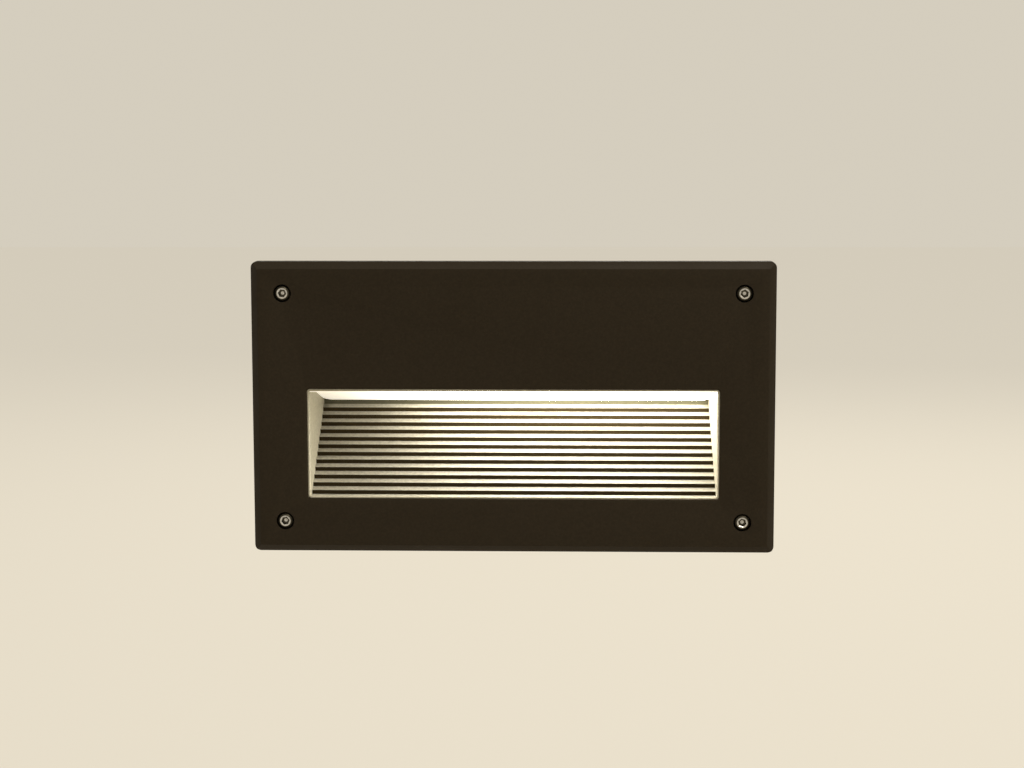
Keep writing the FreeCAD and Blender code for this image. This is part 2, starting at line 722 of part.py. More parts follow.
def make_lens_seat():
    """Roof plate with the round-cornered opening that the lens covers."""
    body = new_body("lens_seat")
    side = side_sketch(body, "seat_side_view")
    outline(
        side,
        [
            ("flange_front", "roof"),
            ("roof_bend", "roof"),
            ("seat_back", roof_line("seat_back")),
            ("seat_back", roof_line("seat_back", "roof_thick")),
            ("roof_bend", roof_line("roof_bend", "roof_thick")),
            ("flange_front", roof_line("roof_bend", "roof_thick")),
        ],
    )
    pad(body, side, "seat_half * 2", "Symmetric")
    notch = plan_sketch(body, "seat_front_notch")
    for sign in ("", "-"):
        points = [("spigot_half", "flange_front"), ("face_wide", "flange_front")]
        points += [("face_wide", "flange_back"), ("spigot_half", "flange_back")]
        outline(notch, [(f"{sign}({x})", y) for x, y in points])
    pocket(body, notch, "face_high", "Symmetric")
    cut_aperture(body, "seat_aperture", "0")
    return body


def cut_aperture(owner, name, wider):
    """Cut the lens opening straight down through a sloping plate."""
    plan = plan_sketch(owner, name)
    across = (f"-(aperture_half + {wider})", f"aperture_half + {wider}")
    depth = (f"aperture_low - {wider}", f"aperture_high + {wider}")
    rounded(plan, across, depth, f"aperture_corner + {wider}")
    pocket(owner, plan, "face_high", "Symmetric")


def make_cavity():
    """The hollow of the scoop as a solid, with its stepped floor and drafted sides."""
    body = new_body("scoop_cavity")
    side = side_sketch(body, "cavity_side")
    mouth = "rim_front - 1"
    outline(
        side,
        [
            (mouth, "sill"),
            ("step_front", "sill"),
            ("scoop_back", "step_top"),
            ("scoop_back", "roof_back"),
            ("roof_bend", "roof"),
            (mouth, "roof"),
        ],
    )
    pad(body, side, "face_wide", "Symmetric")
    step = side_sketch(body, "step_side")
    foot = ("step_front", "sill")
    next_foot = ("step_front + step_deep", "sill + step_rise")
    outline(step, [foot, next_foot, ("step_front", "sill + riser_high")])
    slope = item_line(step, foot, next_foot)
    tooth = pocket(body, step, "face_wide", "Symmetric")
    steps = body.newObject("PartDesign::LinearPattern", "steps")
    steps.Originals = [tooth]
    steps.Direction = (step, [slope])
    bind(steps, "Length", "(step_count - 1) * sqrt(step_deep ^ 2 + step_rise ^ 2)")
    bind(steps, "Occurrences", "step_count")
    body.Tip = steps
    trim_sides(body, "cavity_plan", f"{mouth} - 1", "scoop_back + 1")
    return body


def item_line(item, start, end):
    """Add a construction line to a sketch and give the name of its axis."""
    ends = [Vector(value(u), value(v), 0) for u, v in (start, end)]
    shape = item.addGeometry(Part.LineSegment(*ends), True)
    hold(item, shape, 1, start)
    hold(item, shape, 2, end)
    return "Axis0"


def make_scoop():
    mouth = taper_mouth()
    solid = fuse("scoop_solid", make_scoop_shell(), make_lens_seat())
    hollow = cut("scoop_hollow", solid, make_cavity(), mouth)
    holes = [
        rod(f"clip_hole_{n}", "Z", spot, ("-roof_thick", "0"), "clip_screw_dia / 2 + thread_gap")
        for n, spot in enumerate(clip_spots(), start=1)
    ]
    drilled = lean(group("clip_holes", holes))
    return node(cut("scoop", hollow, drilled))


def taper_mouth():
    """Wedge ring that breaks the inner edge of the scoop's rim."""
    body = new_body("mouth_ease")
    ring = front_sketch(body, "mouth_edge", "rim_front")
    rounded(
        ring,
        ("-(mouth_half + rim_ease)", "mouth_half + rim_ease"),
        ("sill - rim_ease", "roof + rim_ease"),
        "rim_ease + 0.2",
    )
    slab = pad(body, ring, "rim_ease * 2")
    slab.TaperAngle = -45
    return body


def make_scoop_gasket():
    body = new_body("scoop_gasket")
    frame = front_sketch(body, "scoop_gasket_frame", "skin_back")
    half, low, top = "flange_half - gasket_inset", "flange_low + gasket_inset", "flange_top - gasket_inset"
    rounded(frame, (f"-({half})", half), (low, top), "face_corner - gasket_inset")
    pad(body, frame, "scoop_gasket_thick")
    window = front_sketch(body, "scoop_gasket_window", "skin_back")
    half = "window_wide / 2 + gasket_inset"
    tall = ("window_base - gasket_inset", "window_top + gasket_inset")
    rounded(window, (f"-({half})", half), tall, "window_corner")
    pocket(body, window, "scoop_gasket_thick")
    holes = front_sketch(body, "scoop_gasket_holes", "skin_back")
    for spot in scoop_screw_spots():
        circle(holes, spot, "scoop_screw_dia / 2 + bolt_gap")
    pocket(body, holes, "scoop_gasket_thick")
    return node(body)


def screw(name, spot, head, shank, head_radius, radius):
    """Small screw along Y with a hexagon recess; head and shank are spans of y."""
    cap = rod(name + "_head", "Y", spot, head, head_radius)
    stem = rod(name + "_stem", "Y", spot, shank, radius)
    return fuse(name, cap, stem)


def make_scoop_screws():
    screws = [
        screw(
            f"scoop_screw_{n}",
            spot,
            ("flange_back", "flange_back + scoop_screw_head"),
            ("skin_back - scoop_tap_deep + edge_air", "flange_back"),
            "scoop_screw_dia * 0.9",
            "scoop_screw_dia / 2",
        )
        for n, spot in enumerate(scoop_screw_spots(), start=1)
    ]
    return node(group("scoop_screws", screws))


# ---- lens --------------------------------------------------------------------


def sloping_slab(name, low, high):
    """Plate lying on the lens seat between two heights square to the slope."""
    body = new_body(name)
    side = side_sketch(body, name + "_side")
    outline(
        side,
        [
            ("lens_front", roof_line("lens_front", low)),
            ("lens_back", roof_line("lens_back", low)),
            ("lens_back", roof_line("lens_back", high)),
            ("lens_front", roof_line("lens_front", high)),
        ],
    )
    pad(body, side, "lens_half * 2", "Symmetric")
    return body


def make_lens():
    """Lens plate on its gasket, with a land that fills the opening nearly flush with the roof."""
    seat = "roof_thick + lens_gasket_thick"
    gasket = sloping_slab("lens_gasket", "roof_thick", seat)
    cut_aperture(gasket, "lens_gasket_opening", "gasket_back")
    node(gasket)
    plate = sloping_slab("lens_plate", seat, f"{seat} + lens_thick")
    land = sloping_slab("lens_land", "land_lift", seat)
    trim = plan_sketch(land, "land_trim")
    rounded(trim, ("-face_wide", "face_wide"), ("-face_high", "face_high"), "lens_thick")
    across = ("-(aperture_half - land_air)", "aperture_half - land_air")
    depth = ("aperture_low + land_air", "aperture_high - land_air")
    rounded(trim, across, depth, "aperture_corner - land_air")
    pocket(land, trim, "face_high", "Symmetric")
    node(fuse("lens", plate, land))


def clip_spots():
    """Clip screws in the lens seat's own plane: across, and down the slope."""
    reach = "lens_half + edge_air + clip_thick + clip_foot / 2"
    rows = ("clip_first", "clip_first + clip_pitch")
    return [(f"{sign}({reach})", row) for sign in ("", "-") for row in rows]


def lean(item):
    """Turn a level piece onto the lens seat, with its origin at the roof's bend."""
    item.Placement.Rotation = FreeCAD.Rotation(Vector(-1, 0, 0), math.degrees(math.atan(value("roof_fall"))))
    bind(item, "Placement.Rotation.Angle", "atan(roof_fall)")
    move(item, ("0", "roof_bend", roof_line("roof_bend", "roof_thick")))
    return item


def clip(name, sign, row):
    """Folded spring strip: foot on the seat, upright beside the lens, tongue over it."""
    span = (f"{row} - clip_wide / 2", f"{row} + clip_wide / 2")
    edge = "lens_half + edge_air"
    top = "lens_gasket_thick + lens_thick"
    parts = {
        "foot": (edge, f"{edge} + clip_thick + clip_foot", "0", "clip_thick"),
        "upright": (edge, f"{edge} + clip_thick", "0", f"{top} + clip_thick"),
        "tongue": (f"{edge} - clip_tongue", f"{edge} + clip_thick", top, f"{top} + clip_thick"),
    }
    strips = []
    for part, (near, far, low, high) in parts.items():
        across = (near, far) if sign > 0 else (f"-({far})", f"-({near})")
        strips.append(block(f"{name}_{part}", across, span, (low, high)))
    return fuse(name, *strips)


def make_clips():
    rows = ("clip_first", "clip_first + clip_pitch")
    clips, screws = [], []
    for n, spot in enumerate(clip_spots(), start=1):
        sign = 1 if n <= 2 else -1
        strip = clip(f"clip_strip_{n}", sign, rows[(n - 1) % 2])
        hole = rod(f"clip_strip_hole_{n}", "Z", spot, ("0", "clip_thick"), "clip_screw_dia / 2 + thread_gap")
        clips.append(cut(f"clip_{n}", strip, hole))
        head = rod(f"clip_head_{n}", "Z", spot, ("clip_thick", "clip_thick * 3"), "clip_screw_dia * 0.8")
        stem = rod(f"clip_stem_{n}", "Z", spot, ("-roof_thick", "clip_thick"), "clip_screw_dia / 2")
        screws.append(fuse(f"clip_screw_{n}", head, stem))
    node(lean(group("lens_clips", clips)))
    node(lean(group("lens_clip_screws", screws)))


# ---- box ---------------------------------------------------------------------


def make_box():
    body = new_body("back_box")
    walls = front_sketch(body, "box_walls", "box_front")
    across, upright = ("-wall_half_wide", "wall_half_wide"), ("-wall_half_high", "wall_half_high")
    rounded(walls, across, upright, "box_corner")
    pad(body, walls, "box_back - box_front")
    rim = front_sketch(body, "box_rim", "box_front")
    across, upright = ("-rim_half_wide", "rim_half_wide"), ("-rim_half_high", "rim_half_high")
    rounded(rim, across, upright, "rim_corner")
    pad(body, rim, "rim_thick")
    ribs = box_ribs(body)
    room = front_sketch(body, "box_room", "box_front")
    across, upright = ("-room_half_wide", "room_half_wide"), ("-room_half_high", "room_half_high")
    rounded(room, across, upright, "box_corner - box_wall")
    pocket(body, room, "room_back - box_front")
    grow_round(body, "box_bosses", corners("bolt_x", "bolt_z"), "box_front", "boss_long", "boss_dia / 2")
    posts = corners("post_x", "post_z")
    grow_round(body, "box_posts", posts, "tray_back", "box_back - tray_back", "post_dia / 2")
    entries = [("-entry_place", "entry_level"), ("entry_place", "entry_level")]
    depth = "box_back - pad_front"
    grow_round(body, "entry_pads", entries, "pad_front", depth, "entry_boss_dia / 2")
    bore(body, "entry_holes", entries, "pad_front", depth, "entry_dia / 2 + thread_gap")
    taps = corners("bolt_x", "bolt_z")
    bore(body, "bolt_taps", taps, "box_front", "bolt_grip + 2", "bolt_dia / 2 + thread_gap")
    bore(body, "post_taps", posts, "tray_back", "gear_grip + 2", "gear_dia / 2 + thread_gap")
    fixings = corners("room_half_wide - fixing_inset_side", "room_half_high - fixing_inset_end")
    bore(body, "wall_holes", fixings, "room_back", "box_wall", "fixing_dia / 2")
    return node(body)


def box_ribs(body):
    """Three tapered ribs above and below the box, behind its rim."""
    side = side_sketch(body, "rib_side")
    start = "box_front + rim_thick"
    for sign in ("", "-"):
        points = [(start, f"{sign}wall_half_high"), (start, f"{sign}rim_half_high")]
        points.append((f"{start} + rib_long", f"{sign}wall_half_high"))
        outline(side, points)
    rib = pad(body, side, "rib_thick", "Symmetric")
    for name, reverse in (("ribs_right", False), ("ribs_left", True)):
        row = body.newObject("PartDesign::LinearPattern", name)
        row.Originals = [rib]
        row.Direction = (side, ["N_Axis"])
        row.Reversed = reverse
        bind(row, "Length", "rib_pitch")
        row.Occurrences = 2
        body.Tip = row
    return rib


def grow_round(body, name, spots, y, length, radius):
    rounds = front_sketch(body, name, y)
    for spot in spots:
        circle(rounds, spot, radius)
    return pad(body, rounds, length)


def bore(body, name, spots, y, length, radius):
    rounds = front_sketch(body, name, y)
    for spot in spots:
        circle(rounds, spot, radius)
    return pocket(body, rounds, length)


# ---- gear tray and what it carries -------------------------------------------


def ear_spots():
    """Screws of the lampholder's ears."""
    x = "holder_left + ear_long / 2"
    return [(x, "lamp_level + ear_level"), (x, "lamp_level - ear_level")]


def ballast_spots():
    reach = "ballast_long / 2 + bracket_foot - 5"
    middle = "ballast_left + ballast_long / 2"
    return [(f"{middle} - ({reach})", "ballast_level"), (f"{middle} + ({reach})", "ballast_level")]


def block_spots():
    middle = "block_left + block_long / 2"
    return [(f"{middle} {sign} block_pitch / 2", "block_level") for sign in "-+"]


def cradle_spot():
    return ("cradle_place + cradle_long / 2", "lamp_level")


def reflector_spots():
    level = "mirror_foot + gear_head_dia"
    return [("mirror_left + gear_head_dia * 2", level), ("mirror_right - gear_head_dia * 2", level)]


def make_tray():
    body = new_body("gear_tray")
    side = side_sketch(body, "tray_side")
    top, low = "tray_half_high", "-tray_half_high"
    fold = "tray_front + tray_return"
    outline(
        side,
        [
            ("tray_front", low),
            (fold, low),
            (fold, f"{low} + tray_thick"),
            ("tray_back", f"{low} + tray_thick"),
            ("tray_back", f"{top} - tray_thick"),
            (fold, f"{top} - tray_thick"),
            (fold, top),
            ("tray_front", top),
        ],
    )
    pad(body, side, "tray_half_wide * 2", "Symmetric")
    clear = "gear_dia / 2 + bolt_gap"
    bore(body, "tray_post_holes", corners("post_x", "post_z"), "tray_front", "tray_thick", clear)
    tight = "gear_dia / 2 + thread_gap"
    spots = ear_spots() + ballast_spots() + block_spots() + reflector_spots()
    spots += [cradle_spot(), ("stud_place", "stud_level")]
    bore(body, "tray_gear_holes", spots, "tray_front", "tray_thick", tight)
    grommet = [("grommet_place", "grommet_level")]
    bore(body, "tray_wire_hole", grommet, "tray_front", "tray_thick", "grommet_dia / 2")
    return node(body)


def gear_screw(name, spot, seat, length):
    """Gear screw put in from the front, its head on the plane y = seat."""
    head = (f"({seat}) - gear_head_high", seat)
    return screw(name, spot, head, (seat, f"({seat}) + ({length})"), "gear_head_dia / 2", "gear_dia / 2")


def make_gear_screws():
    tray = [
        gear_screw(f"tray_screw_{n}", spot, "tray_front", "tray_thick + gear_grip")
        for n, spot in enumerate(corners("post_x", "post_z"), start=1)
    ]
    node(group("tray_screws", tray))
    holder = [
        gear_screw(f"holder_screw_{n}", spot, "tray_front - ear_thick", "ear_thick + tray_thick + 1")
        for n, spot in enumerate(ear_spots(), start=1)
    ]
    node(group("lampholder_screws", holder))
    ballast = [
        gear_screw(f"ballast_screw_{n}", spot, "tray_front", "tray_thick + bracket_thick + 2")
        for n, spot in enumerate(ballast_spots(), start=1)
    ]
    node(group("ballast_screws", ballast))
    reflector = [
        gear_screw(f"reflector_screw_{n}", spot, "tray_front - mirror_thick", "mirror_thick + tray_thick + 1")
        for n, spot in enumerate(reflector_spots(), start=1)
    ]
    node(group("reflector_screws", reflector))
    blocks = [
        gear_screw(f"block_screw_{n}", spot, "block_front + gear_head_high + 1", "block_deep - gear_head_high")
        for n, spot in enumerate(block_spots(), start=1)
    ]
    node(group("terminal_block_screws", blocks))


def make_reflector():
    """Bent bright sheet over and behind the lamp."""
    body = new_body("lamp_reflector")
    side = side_sketch(body, "reflector_side")
    front, back = "mirror_front", "tray_front"
    inner_back = "tray_front - mirror_thick"
    outer_top = "mirror_top + mirror_thick"
    outline(
        side,
        [
            (front, "mirror_top"),
            (inner_back, "mirror_top"),
            (inner_back, "mirror_foot"),
            (back, "mirror_foot"),
            (back, outer_top),
            (front, outer_top),
        ],
    )
    sheet_pad = pad(body, side, "mirror_right - mirror_left")
    sheet_pad.Reversed = False
    bind(side, "AttachmentOffset.Base.z", "mirror_left")
    bend = body.newObject("PartDesign::Fillet", "reflector_bend")
    near = FreeCAD.BoundBox(-500, value(inner_back) - 0.1, value("mirror_top") - 0.1, 500, 500, 500)
    inside = edges_along(sheet_pad, Vector(1, 0, 0), near)
    bend.Base = (sheet_pad, [name for name in inside if is_bend_inside(sheet_pad, name)])
    bind(bend, "Radius", "mirror_bend")
    body.Tip = bend
    bend_out = body.newObject("PartDesign::Fillet", "reflector_bend_outside")
    outer = edges_along(bend, Vector(1, 0, 0), near)
    bend_out.Base = (bend, [name for name in outer if is_bend_outside(bend, name)])
    bind(bend_out, "Radius", "mirror_bend + mirror_thick")
    body.Tip = bend_out
    spots = [cradle_spot()] + reflector_spots()
    bore(body, "reflector_holes", spots, inner_back, "mirror_thick", "gear_dia / 2 + bolt_gap")
    return node(body)


def edge_is_at(feature, name, y, z):
    middle = feature.Shape.getElement(name).CenterOfMass
    return abs(middle.y - value(y)) < 0.01 and abs(middle.z - value(z)) < 0.01


def is_bend_inside(feature, name):
    return edge_is_at(feature, name, "tray_front - mirror_thick", "mirror_top")


def is_bend_outside(feature, name):
    return edge_is_at(feature, name, "tray_front", "mirror_top + mirror_thick")


def moulded(name, x, y, z, radius):
    """Moulded block with every edge rounded."""
    body = new_body(name)
    plan = front_sketch(body, name + "_outline", y[0])
    outline(plan, [(x[0], z[0]), (x[1], z[0]), (x[1], z[1]), (x[0], z[1])])
    solid = pad(body, plan, f"({y[1]}) - ({y[0]})")
    ease = body.newObject("PartDesign::Fillet", name + "_ease")
    ease.Base = (solid, [""])
    ease.UseAllEdges = True
    bind(ease, "Radius", radius)
    body.Tip = ease
    return body


def make_lampholder():
    x = ("holder_left", "holder_right")
    y = ("holder_front", "tray_front")
    z = ("lamp_level - holder_high / 2", "lamp_level + holder_high / 2")
    housing = moulded("lampholder_body", x, y, z, "holder_ease")
    ear = block(
        "lampholder_ears",
        ("holder_left", "holder_left + ear_long"),
        ("tray_front - ear_thick", "tray_front"),
        ("lamp_level - holder_high / 2 - ear_high", "lamp_level + holder_high / 2 + ear_high"),
    )
    starter = block(
        "lampholder_starter_hole",
        ("holder_right - starter_long - plug_air", "holder_right"),
        ("lamp_deep - starter_size / 2 - plug_air", "lamp_deep + starter_size / 2 + plug_air"),
        ("lamp_level - starter_size / 2 - plug_air", "lamp_level + starter_size / 2 + plug_air"),
    )
    holes = [
        rod(f"contact_hole_{n}", "X", spot, ("holder_right - pin_long - 1", "holder_right"), contact_outer())
        for n, spot in enumerate(pin_spots(), start=1)
    ]
    clear = "gear_dia / 2 + bolt_gap"
    span = ("tray_front - ear_thick", "tray_front")
    screws = [rod(f"ear_hole_{n}", "Y", spot, span, clear) for n, spot in enumerate(ear_spots(), start=1)]
    solid = fuse("lampholder_solid", housing, ear)
    node(cut("lampholder", solid, starter, *holes, *screws))
    make_contacts()


def contact_outer():
    return "pin_dia / 2 + pin_gap + contact_wall"


def pin_spots():
    return [(f"lamp_deep {sign} pin_pitch / 2", "lamp_level") for sign in "-+"]


def make_contacts():
    sleeves = []
    for n, spot in enumerate(pin_spots(), start=1):
        span = ("holder_right - pin_long - 1", "holder_right")
        outer = rod(f"contact_outer_{n}", "X", spot, span, contact_outer())
        inner = rod(f"contact_inner_{n}", "X", spot, span, "pin_dia / 2 + pin_gap")
        sleeves.append(cut(f"contact_{n}", outer, inner))
    node(group("lampholder_contacts", sleeves))


def make_cradle():
    """Moulded cradle on the tray that snaps over both tubes from above."""
    x = ("cradle_place", "cradle_place + cradle_long")
    front = "lamp_deep - tube_pitch / 2 - tube_dia / 2 - tube_air - cradle_wall"
    y = (front, "tray_front - mirror_thick")
    mouth = "lamp_level - tube_dia / 4"
    z = (mouth, "lamp_level + tube_dia / 2 + tube_air + cradle_wall")
    arm = block("cradle_arm", x, y, z)
    foot_z = ("lamp_level - tube_dia / 2 - cradle_wall", "lamp_level + tube_dia / 2 + tube_air + cradle_wall")
    foot_y = ("tray_front - mirror_thick - cradle_wall", "tray_front - mirror_thick")
    foot = block("cradle_foot", x, foot_y, foot_z)
    tools = []
    for n, sign in enumerate("-+", start=1):
        middle = f"lamp_deep {sign} tube_pitch / 2"
        span = ("cradle_place", "cradle_place + cradle_long")
        tools.append(rod(f"cradle_bore_{n}", "X", (middle, "lamp_level"), span, "tube_dia / 2 + tube_air"))
        neck = (f"{middle} - cradle_neck / 2", f"{middle} + cradle_neck / 2")
        tools.append(block(f"cradle_neck_{n}", x, neck, (f"{mouth} - 1", "lamp_level")))
    screw_span = ("tray_front - mirror_thick - cradle_wall", "tray_front - mirror_thick")
    tools.append(rod("cradle_tap", "Y", cradle_spot(), screw_span, "gear_dia / 2 + thread_gap"))
    node(cut("lamp_cradle", fuse("cradle_solid", arm, foot), *tools))
    seat = "tray_back"
    head = (seat, f"{seat} + gear_head_high")
    stem = ("tray_front - mirror_thick - cradle_wall", seat)
    node(screw("cradle_screw", cradle_spot(), head, stem, "gear_head_dia / 2", "gear_dia / 2"))


def make_lamp():
    tubes, blends = [], []
    end = "lamp_end"
    for n, sign in enumerate("-+", start=1):
        spot = (f"lamp_deep {sign} tube_pitch / 2", "lamp_level")
        tubes.append(rod(f"tube_{n}", "X", spot, ("lamp_start", end), "tube_dia / 2"))
        ball = doc.addObject("Part::Sphere", f"tube_end_{n}")
        bind(ball, "Radius", "tube_dia / 2")
        move(ball, (end, *spot))
        blends.append(ball)
    bridge_x = f"{end} - bridge_back"
    span = ("lamp_deep - tube_pitch / 2", "lamp_deep + tube_pitch / 2")
    bridge = rod("tube_bridge", "Y", (bridge_x, "lamp_level"), span, "bridge_dia / 2")
    node(fuse("lamp_tube", *tubes, *blends, bridge))
    x = ("lamp_root", "lamp_start")
    y = ("lamp_deep - base_deep / 2", "lamp_deep + base_deep / 2")
    z = ("lamp_level - base_high / 2", "lamp_level + base_high / 2")
    cap = moulded("lamp_base_cap", x, y, z, "base_ease")
    starter = block(
        "lamp_starter",
        ("lamp_root - starter_long", "lamp_root"),
        ("lamp_deep - starter_size / 2", "lamp_deep + starter_size / 2"),
        ("lamp_level - starter_size / 2", "lamp_level + starter_size / 2"),
    )
    node(fuse("lamp_base", cap, starter))
    pins = [
        rod(f"lamp_pin_{n}", "X", spot, ("lamp_root - pin_long", "lamp_root"), "pin_dia / 2")
        for n, spot in enumerate(pin_spots(), start=1)
    ]
    node(group("lamp_pins", pins))


def make_ballast():
    low, high = "ballast_level - ballast_high / 2", "ballast_level + ballast_high / 2"
    core_x = ("ballast_left", "core_right")
    core_y = ("core_front", "core_front + ballast_deep")
    core = moulded_core("ballast_core_block", core_x, core_y, (low, high))
    coil_y = ("core_middle - coil_deep / 2", "core_middle + coil_deep / 2")
    coil_z = ("ballast_level - coil_high / 2", "ballast_level + coil_high / 2")
    slot = block("ballast_slot", core_x, coil_y, coil_z)
    node(cut("ballast_core", core, slot))
    winding = block("ballast_winding", core_x, coil_y, coil_z)
    head_y = ("core_middle - coil_deep / 2 - 3", "core_middle + coil_deep / 2 + 3")
    head_z = ("ballast_level - coil_high / 2 - 3", "ballast_level + coil_high / 2 + 3")
    left_x = ("ballast_left - coil_head", "ballast_left")
    right_x = ("core_right", "core_right + coil_head")
    left = moulded("coil_head_left", left_x, head_y, head_z, "holder_ease")
    right = moulded("coil_head_right", right_x, head_y, head_z, "holder_ease")
    node(fuse("ballast_coil", winding, left, right))
    foot_x = ("ballast_left - bracket_foot", "core_right + bracket_foot")
    plate = block("bracket_plate", foot_x, ("tray_back", "core_front"), (low, high))
    grip_y = ("tray_back", "core_front + bracket_grip")
    grips = [
        block("bracket_grip_low", core_x, grip_y, (f"{low} - bracket_thick", low)),
        block("bracket_grip_top", core_x, grip_y, (high, f"{high} + bracket_thick")),
    ]
    holes = [
        rod(f"bracket_hole_{n}", "Y", spot, ("tray_back", "core_front"), "gear_dia / 2 + thread_gap")
        for n, spot in enumerate(ballast_spots(), start=1)
    ]
    node(cut("ballast_bracket", fuse("bracket_solid", plate, *grips), *holes))
    push_right = "ballast_left - coil_head"
    push_x = (f"{push_right} - push_block", push_right)
    push_y = ("core_middle - push_block / 2", "core_middle + push_block / 2")
    push_z = ("ballast_level - push_block / 2", "ballast_level + push_block / 2")
    node(block("ballast_terminals", push_x, push_y, push_z))


def moulded_core(name, x, y, z):
    """Stack of laminations with its corners clipped."""
    body = new_body(name)
    side = front_sketch(body, name + "_outline", y[0])
    outline(side, [(x[0], z[0]), (x[1], z[0]), (x[1], z[1]), (x[0], z[1])])
    solid = pad(body, side, f"({y[1]}) - ({y[0]})")
    clip_edges = body.newObject("PartDesign::Chamfer", name + "_corners")
    near = FreeCAD.BoundBox(-500, value(y[1]) - 0.1, -500, 500, value(y[1]) + 0.1, 500)
    clip_edges.Base = (solid, edges_along(solid, Vector(1, 0, 0), near))
    bind(clip_edges, "Size", "holder_ease * 2")
    body.Tip = clip_edges
    return body


def make_terminal_block():
    """Strip of ways side by side, each with a wire hole and a screw tower."""
    low, high = "block_level - block_high / 2", "block_level + block_high / 2"
    base = block(
        "block_base",
        ("block_left", "block_right"),
        ("tray_front - block_deep / 2", "tray_front"),
        (low, high),
    )
    towers, tools, screws = [], [], []
    tower_y = ("block_front", "tray_front - block_deep / 2")
    tower_z = (f"{low} + 1", f"{high} - 1")
    for n in range(int(value("block_ways"))):
        left = f"block_left + {n} * block_pitch + 1"
        right = f"block_left + {n + 1} * block_pitch - 1"
        middle = f"block_left + ({n} + 0.5) * block_pitch"
        towers.append(block(f"tower_{n}", (left, right), tower_y, tower_z))
        way = (middle, "block_front + way_dia / 2 + way_rim")
        tools.append(rod(f"way_{n}", "Z", way, (low, high), "way_dia / 2"))
        for side, level in (("low", f"{low} + block_high / 4"), ("top", f"{high} - block_high / 4")):
            spot = (middle, level)
            span = ("block_front", "block_front + 3")
            tools.append(rod(f"way_tap_{side}_{n}", "Y", spot, span, "way_screw_dia / 2 + thread_gap"))
            sunk = ("block_front + 0.6", "block_front + 3")
            screws.append(rod(f"way_screw_{side}_{n}", "Y", spot, sunk, "way_screw_dia / 2"))
    for n, spot in enumerate(block_spots(), start=1):
        through = ("block_front", "tray_front")
        tools.append(rod(f"block_hole_{n}", "Y", spot, through, "gear_dia / 2 + bolt_gap"))
        seat = ("block_front", "block_front + gear_head_high + 1")
        tools.append(rod(f"block_seat_{n}", "Y", spot, seat, "gear_head_dia / 2 + bolt_gap"))
    node(cut("terminal_block", fuse("block_solid", base, *towers), *tools))
    node(group("terminal_screws", screws))


def make_earth():
    """Earth stud through the tray, the wire's ring lug and the nut on it."""
    spot = ("stud_place", "stud_level")
    stud = rod("stud_stem", "Y", spot, ("tray_front - stud_long", "tray_back"), "gear_dia / 2")
    head = hexagon("stud_head", "Y", spot, ("tray_back", "tray_back + nut_high"), "nut_across")
    node(fuse("earth_stud", stud, head))
    seat = "tray_front - lug_thick"
    ring = rod("lug_ring", "Y", spot, (seat, "tray_front"), "nut_across / 2")
    x = ("stud_place - wire_dia / 2", "stud_place + wire_dia / 2")
    tail = block("lug_tail", x, (seat, "tray_front"), ("stud_level - nut_across", "stud_level"))
    barrel_z = ("stud_level - nut_across", "stud_level - nut_across / 2 - lug_thick")
    barrel_spot = ("stud_place", "tray_front - wire_dia")
    barrel = rod("lug_barrel", "Z", barrel_spot, barrel_z, "wire_dia / 2 + lug_thick / 2")
    hole = rod("lug_hole", "Y", spot, (seat, "tray_front"), "gear_dia / 2 + thread_gap")
    node(cut("earth_lug", fuse("lug_solid", ring, tail, barrel), hole))
    nut = hexagon("earth_nut_hex", "Y", spot, (f"{seat} - nut_high", seat), "nut_across")
    nut_hole = rod("earth_nut_hole", "Y", spot, (f"{seat} - nut_high", seat), "gear_dia / 2 + thread_gap")
    node(cut("earth_nut", nut, nut_hole))


def make_grommet():
    spot = ("grommet_place", "grommet_level")
    neck = rod("grommet_neck", "Y", spot, ("tray_front", "tray_back"), "grommet_dia / 2 - thread_gap")
    lip = "grommet_dia / 2 + grommet_lip"
    lips = [
        rod("grommet_lip_front", "Y", spot, ("tray_front - grommet_lip", "tray_front"), lip),
        rod("grommet_lip_back", "Y", spot, ("tray_back", "tray_back + grommet_lip"), lip),
    ]
    way_span = ("tray_front - grommet_lip", "tray_back + grommet_lip")
    hole = rod("grommet_way", "Y", spot, way_span, "grommet_bore / 2")
    node(cut("wire_grommet", fuse("grommet_solid", neck, *lips), hole))


# ---- cable entries -----------------------------------------------------------


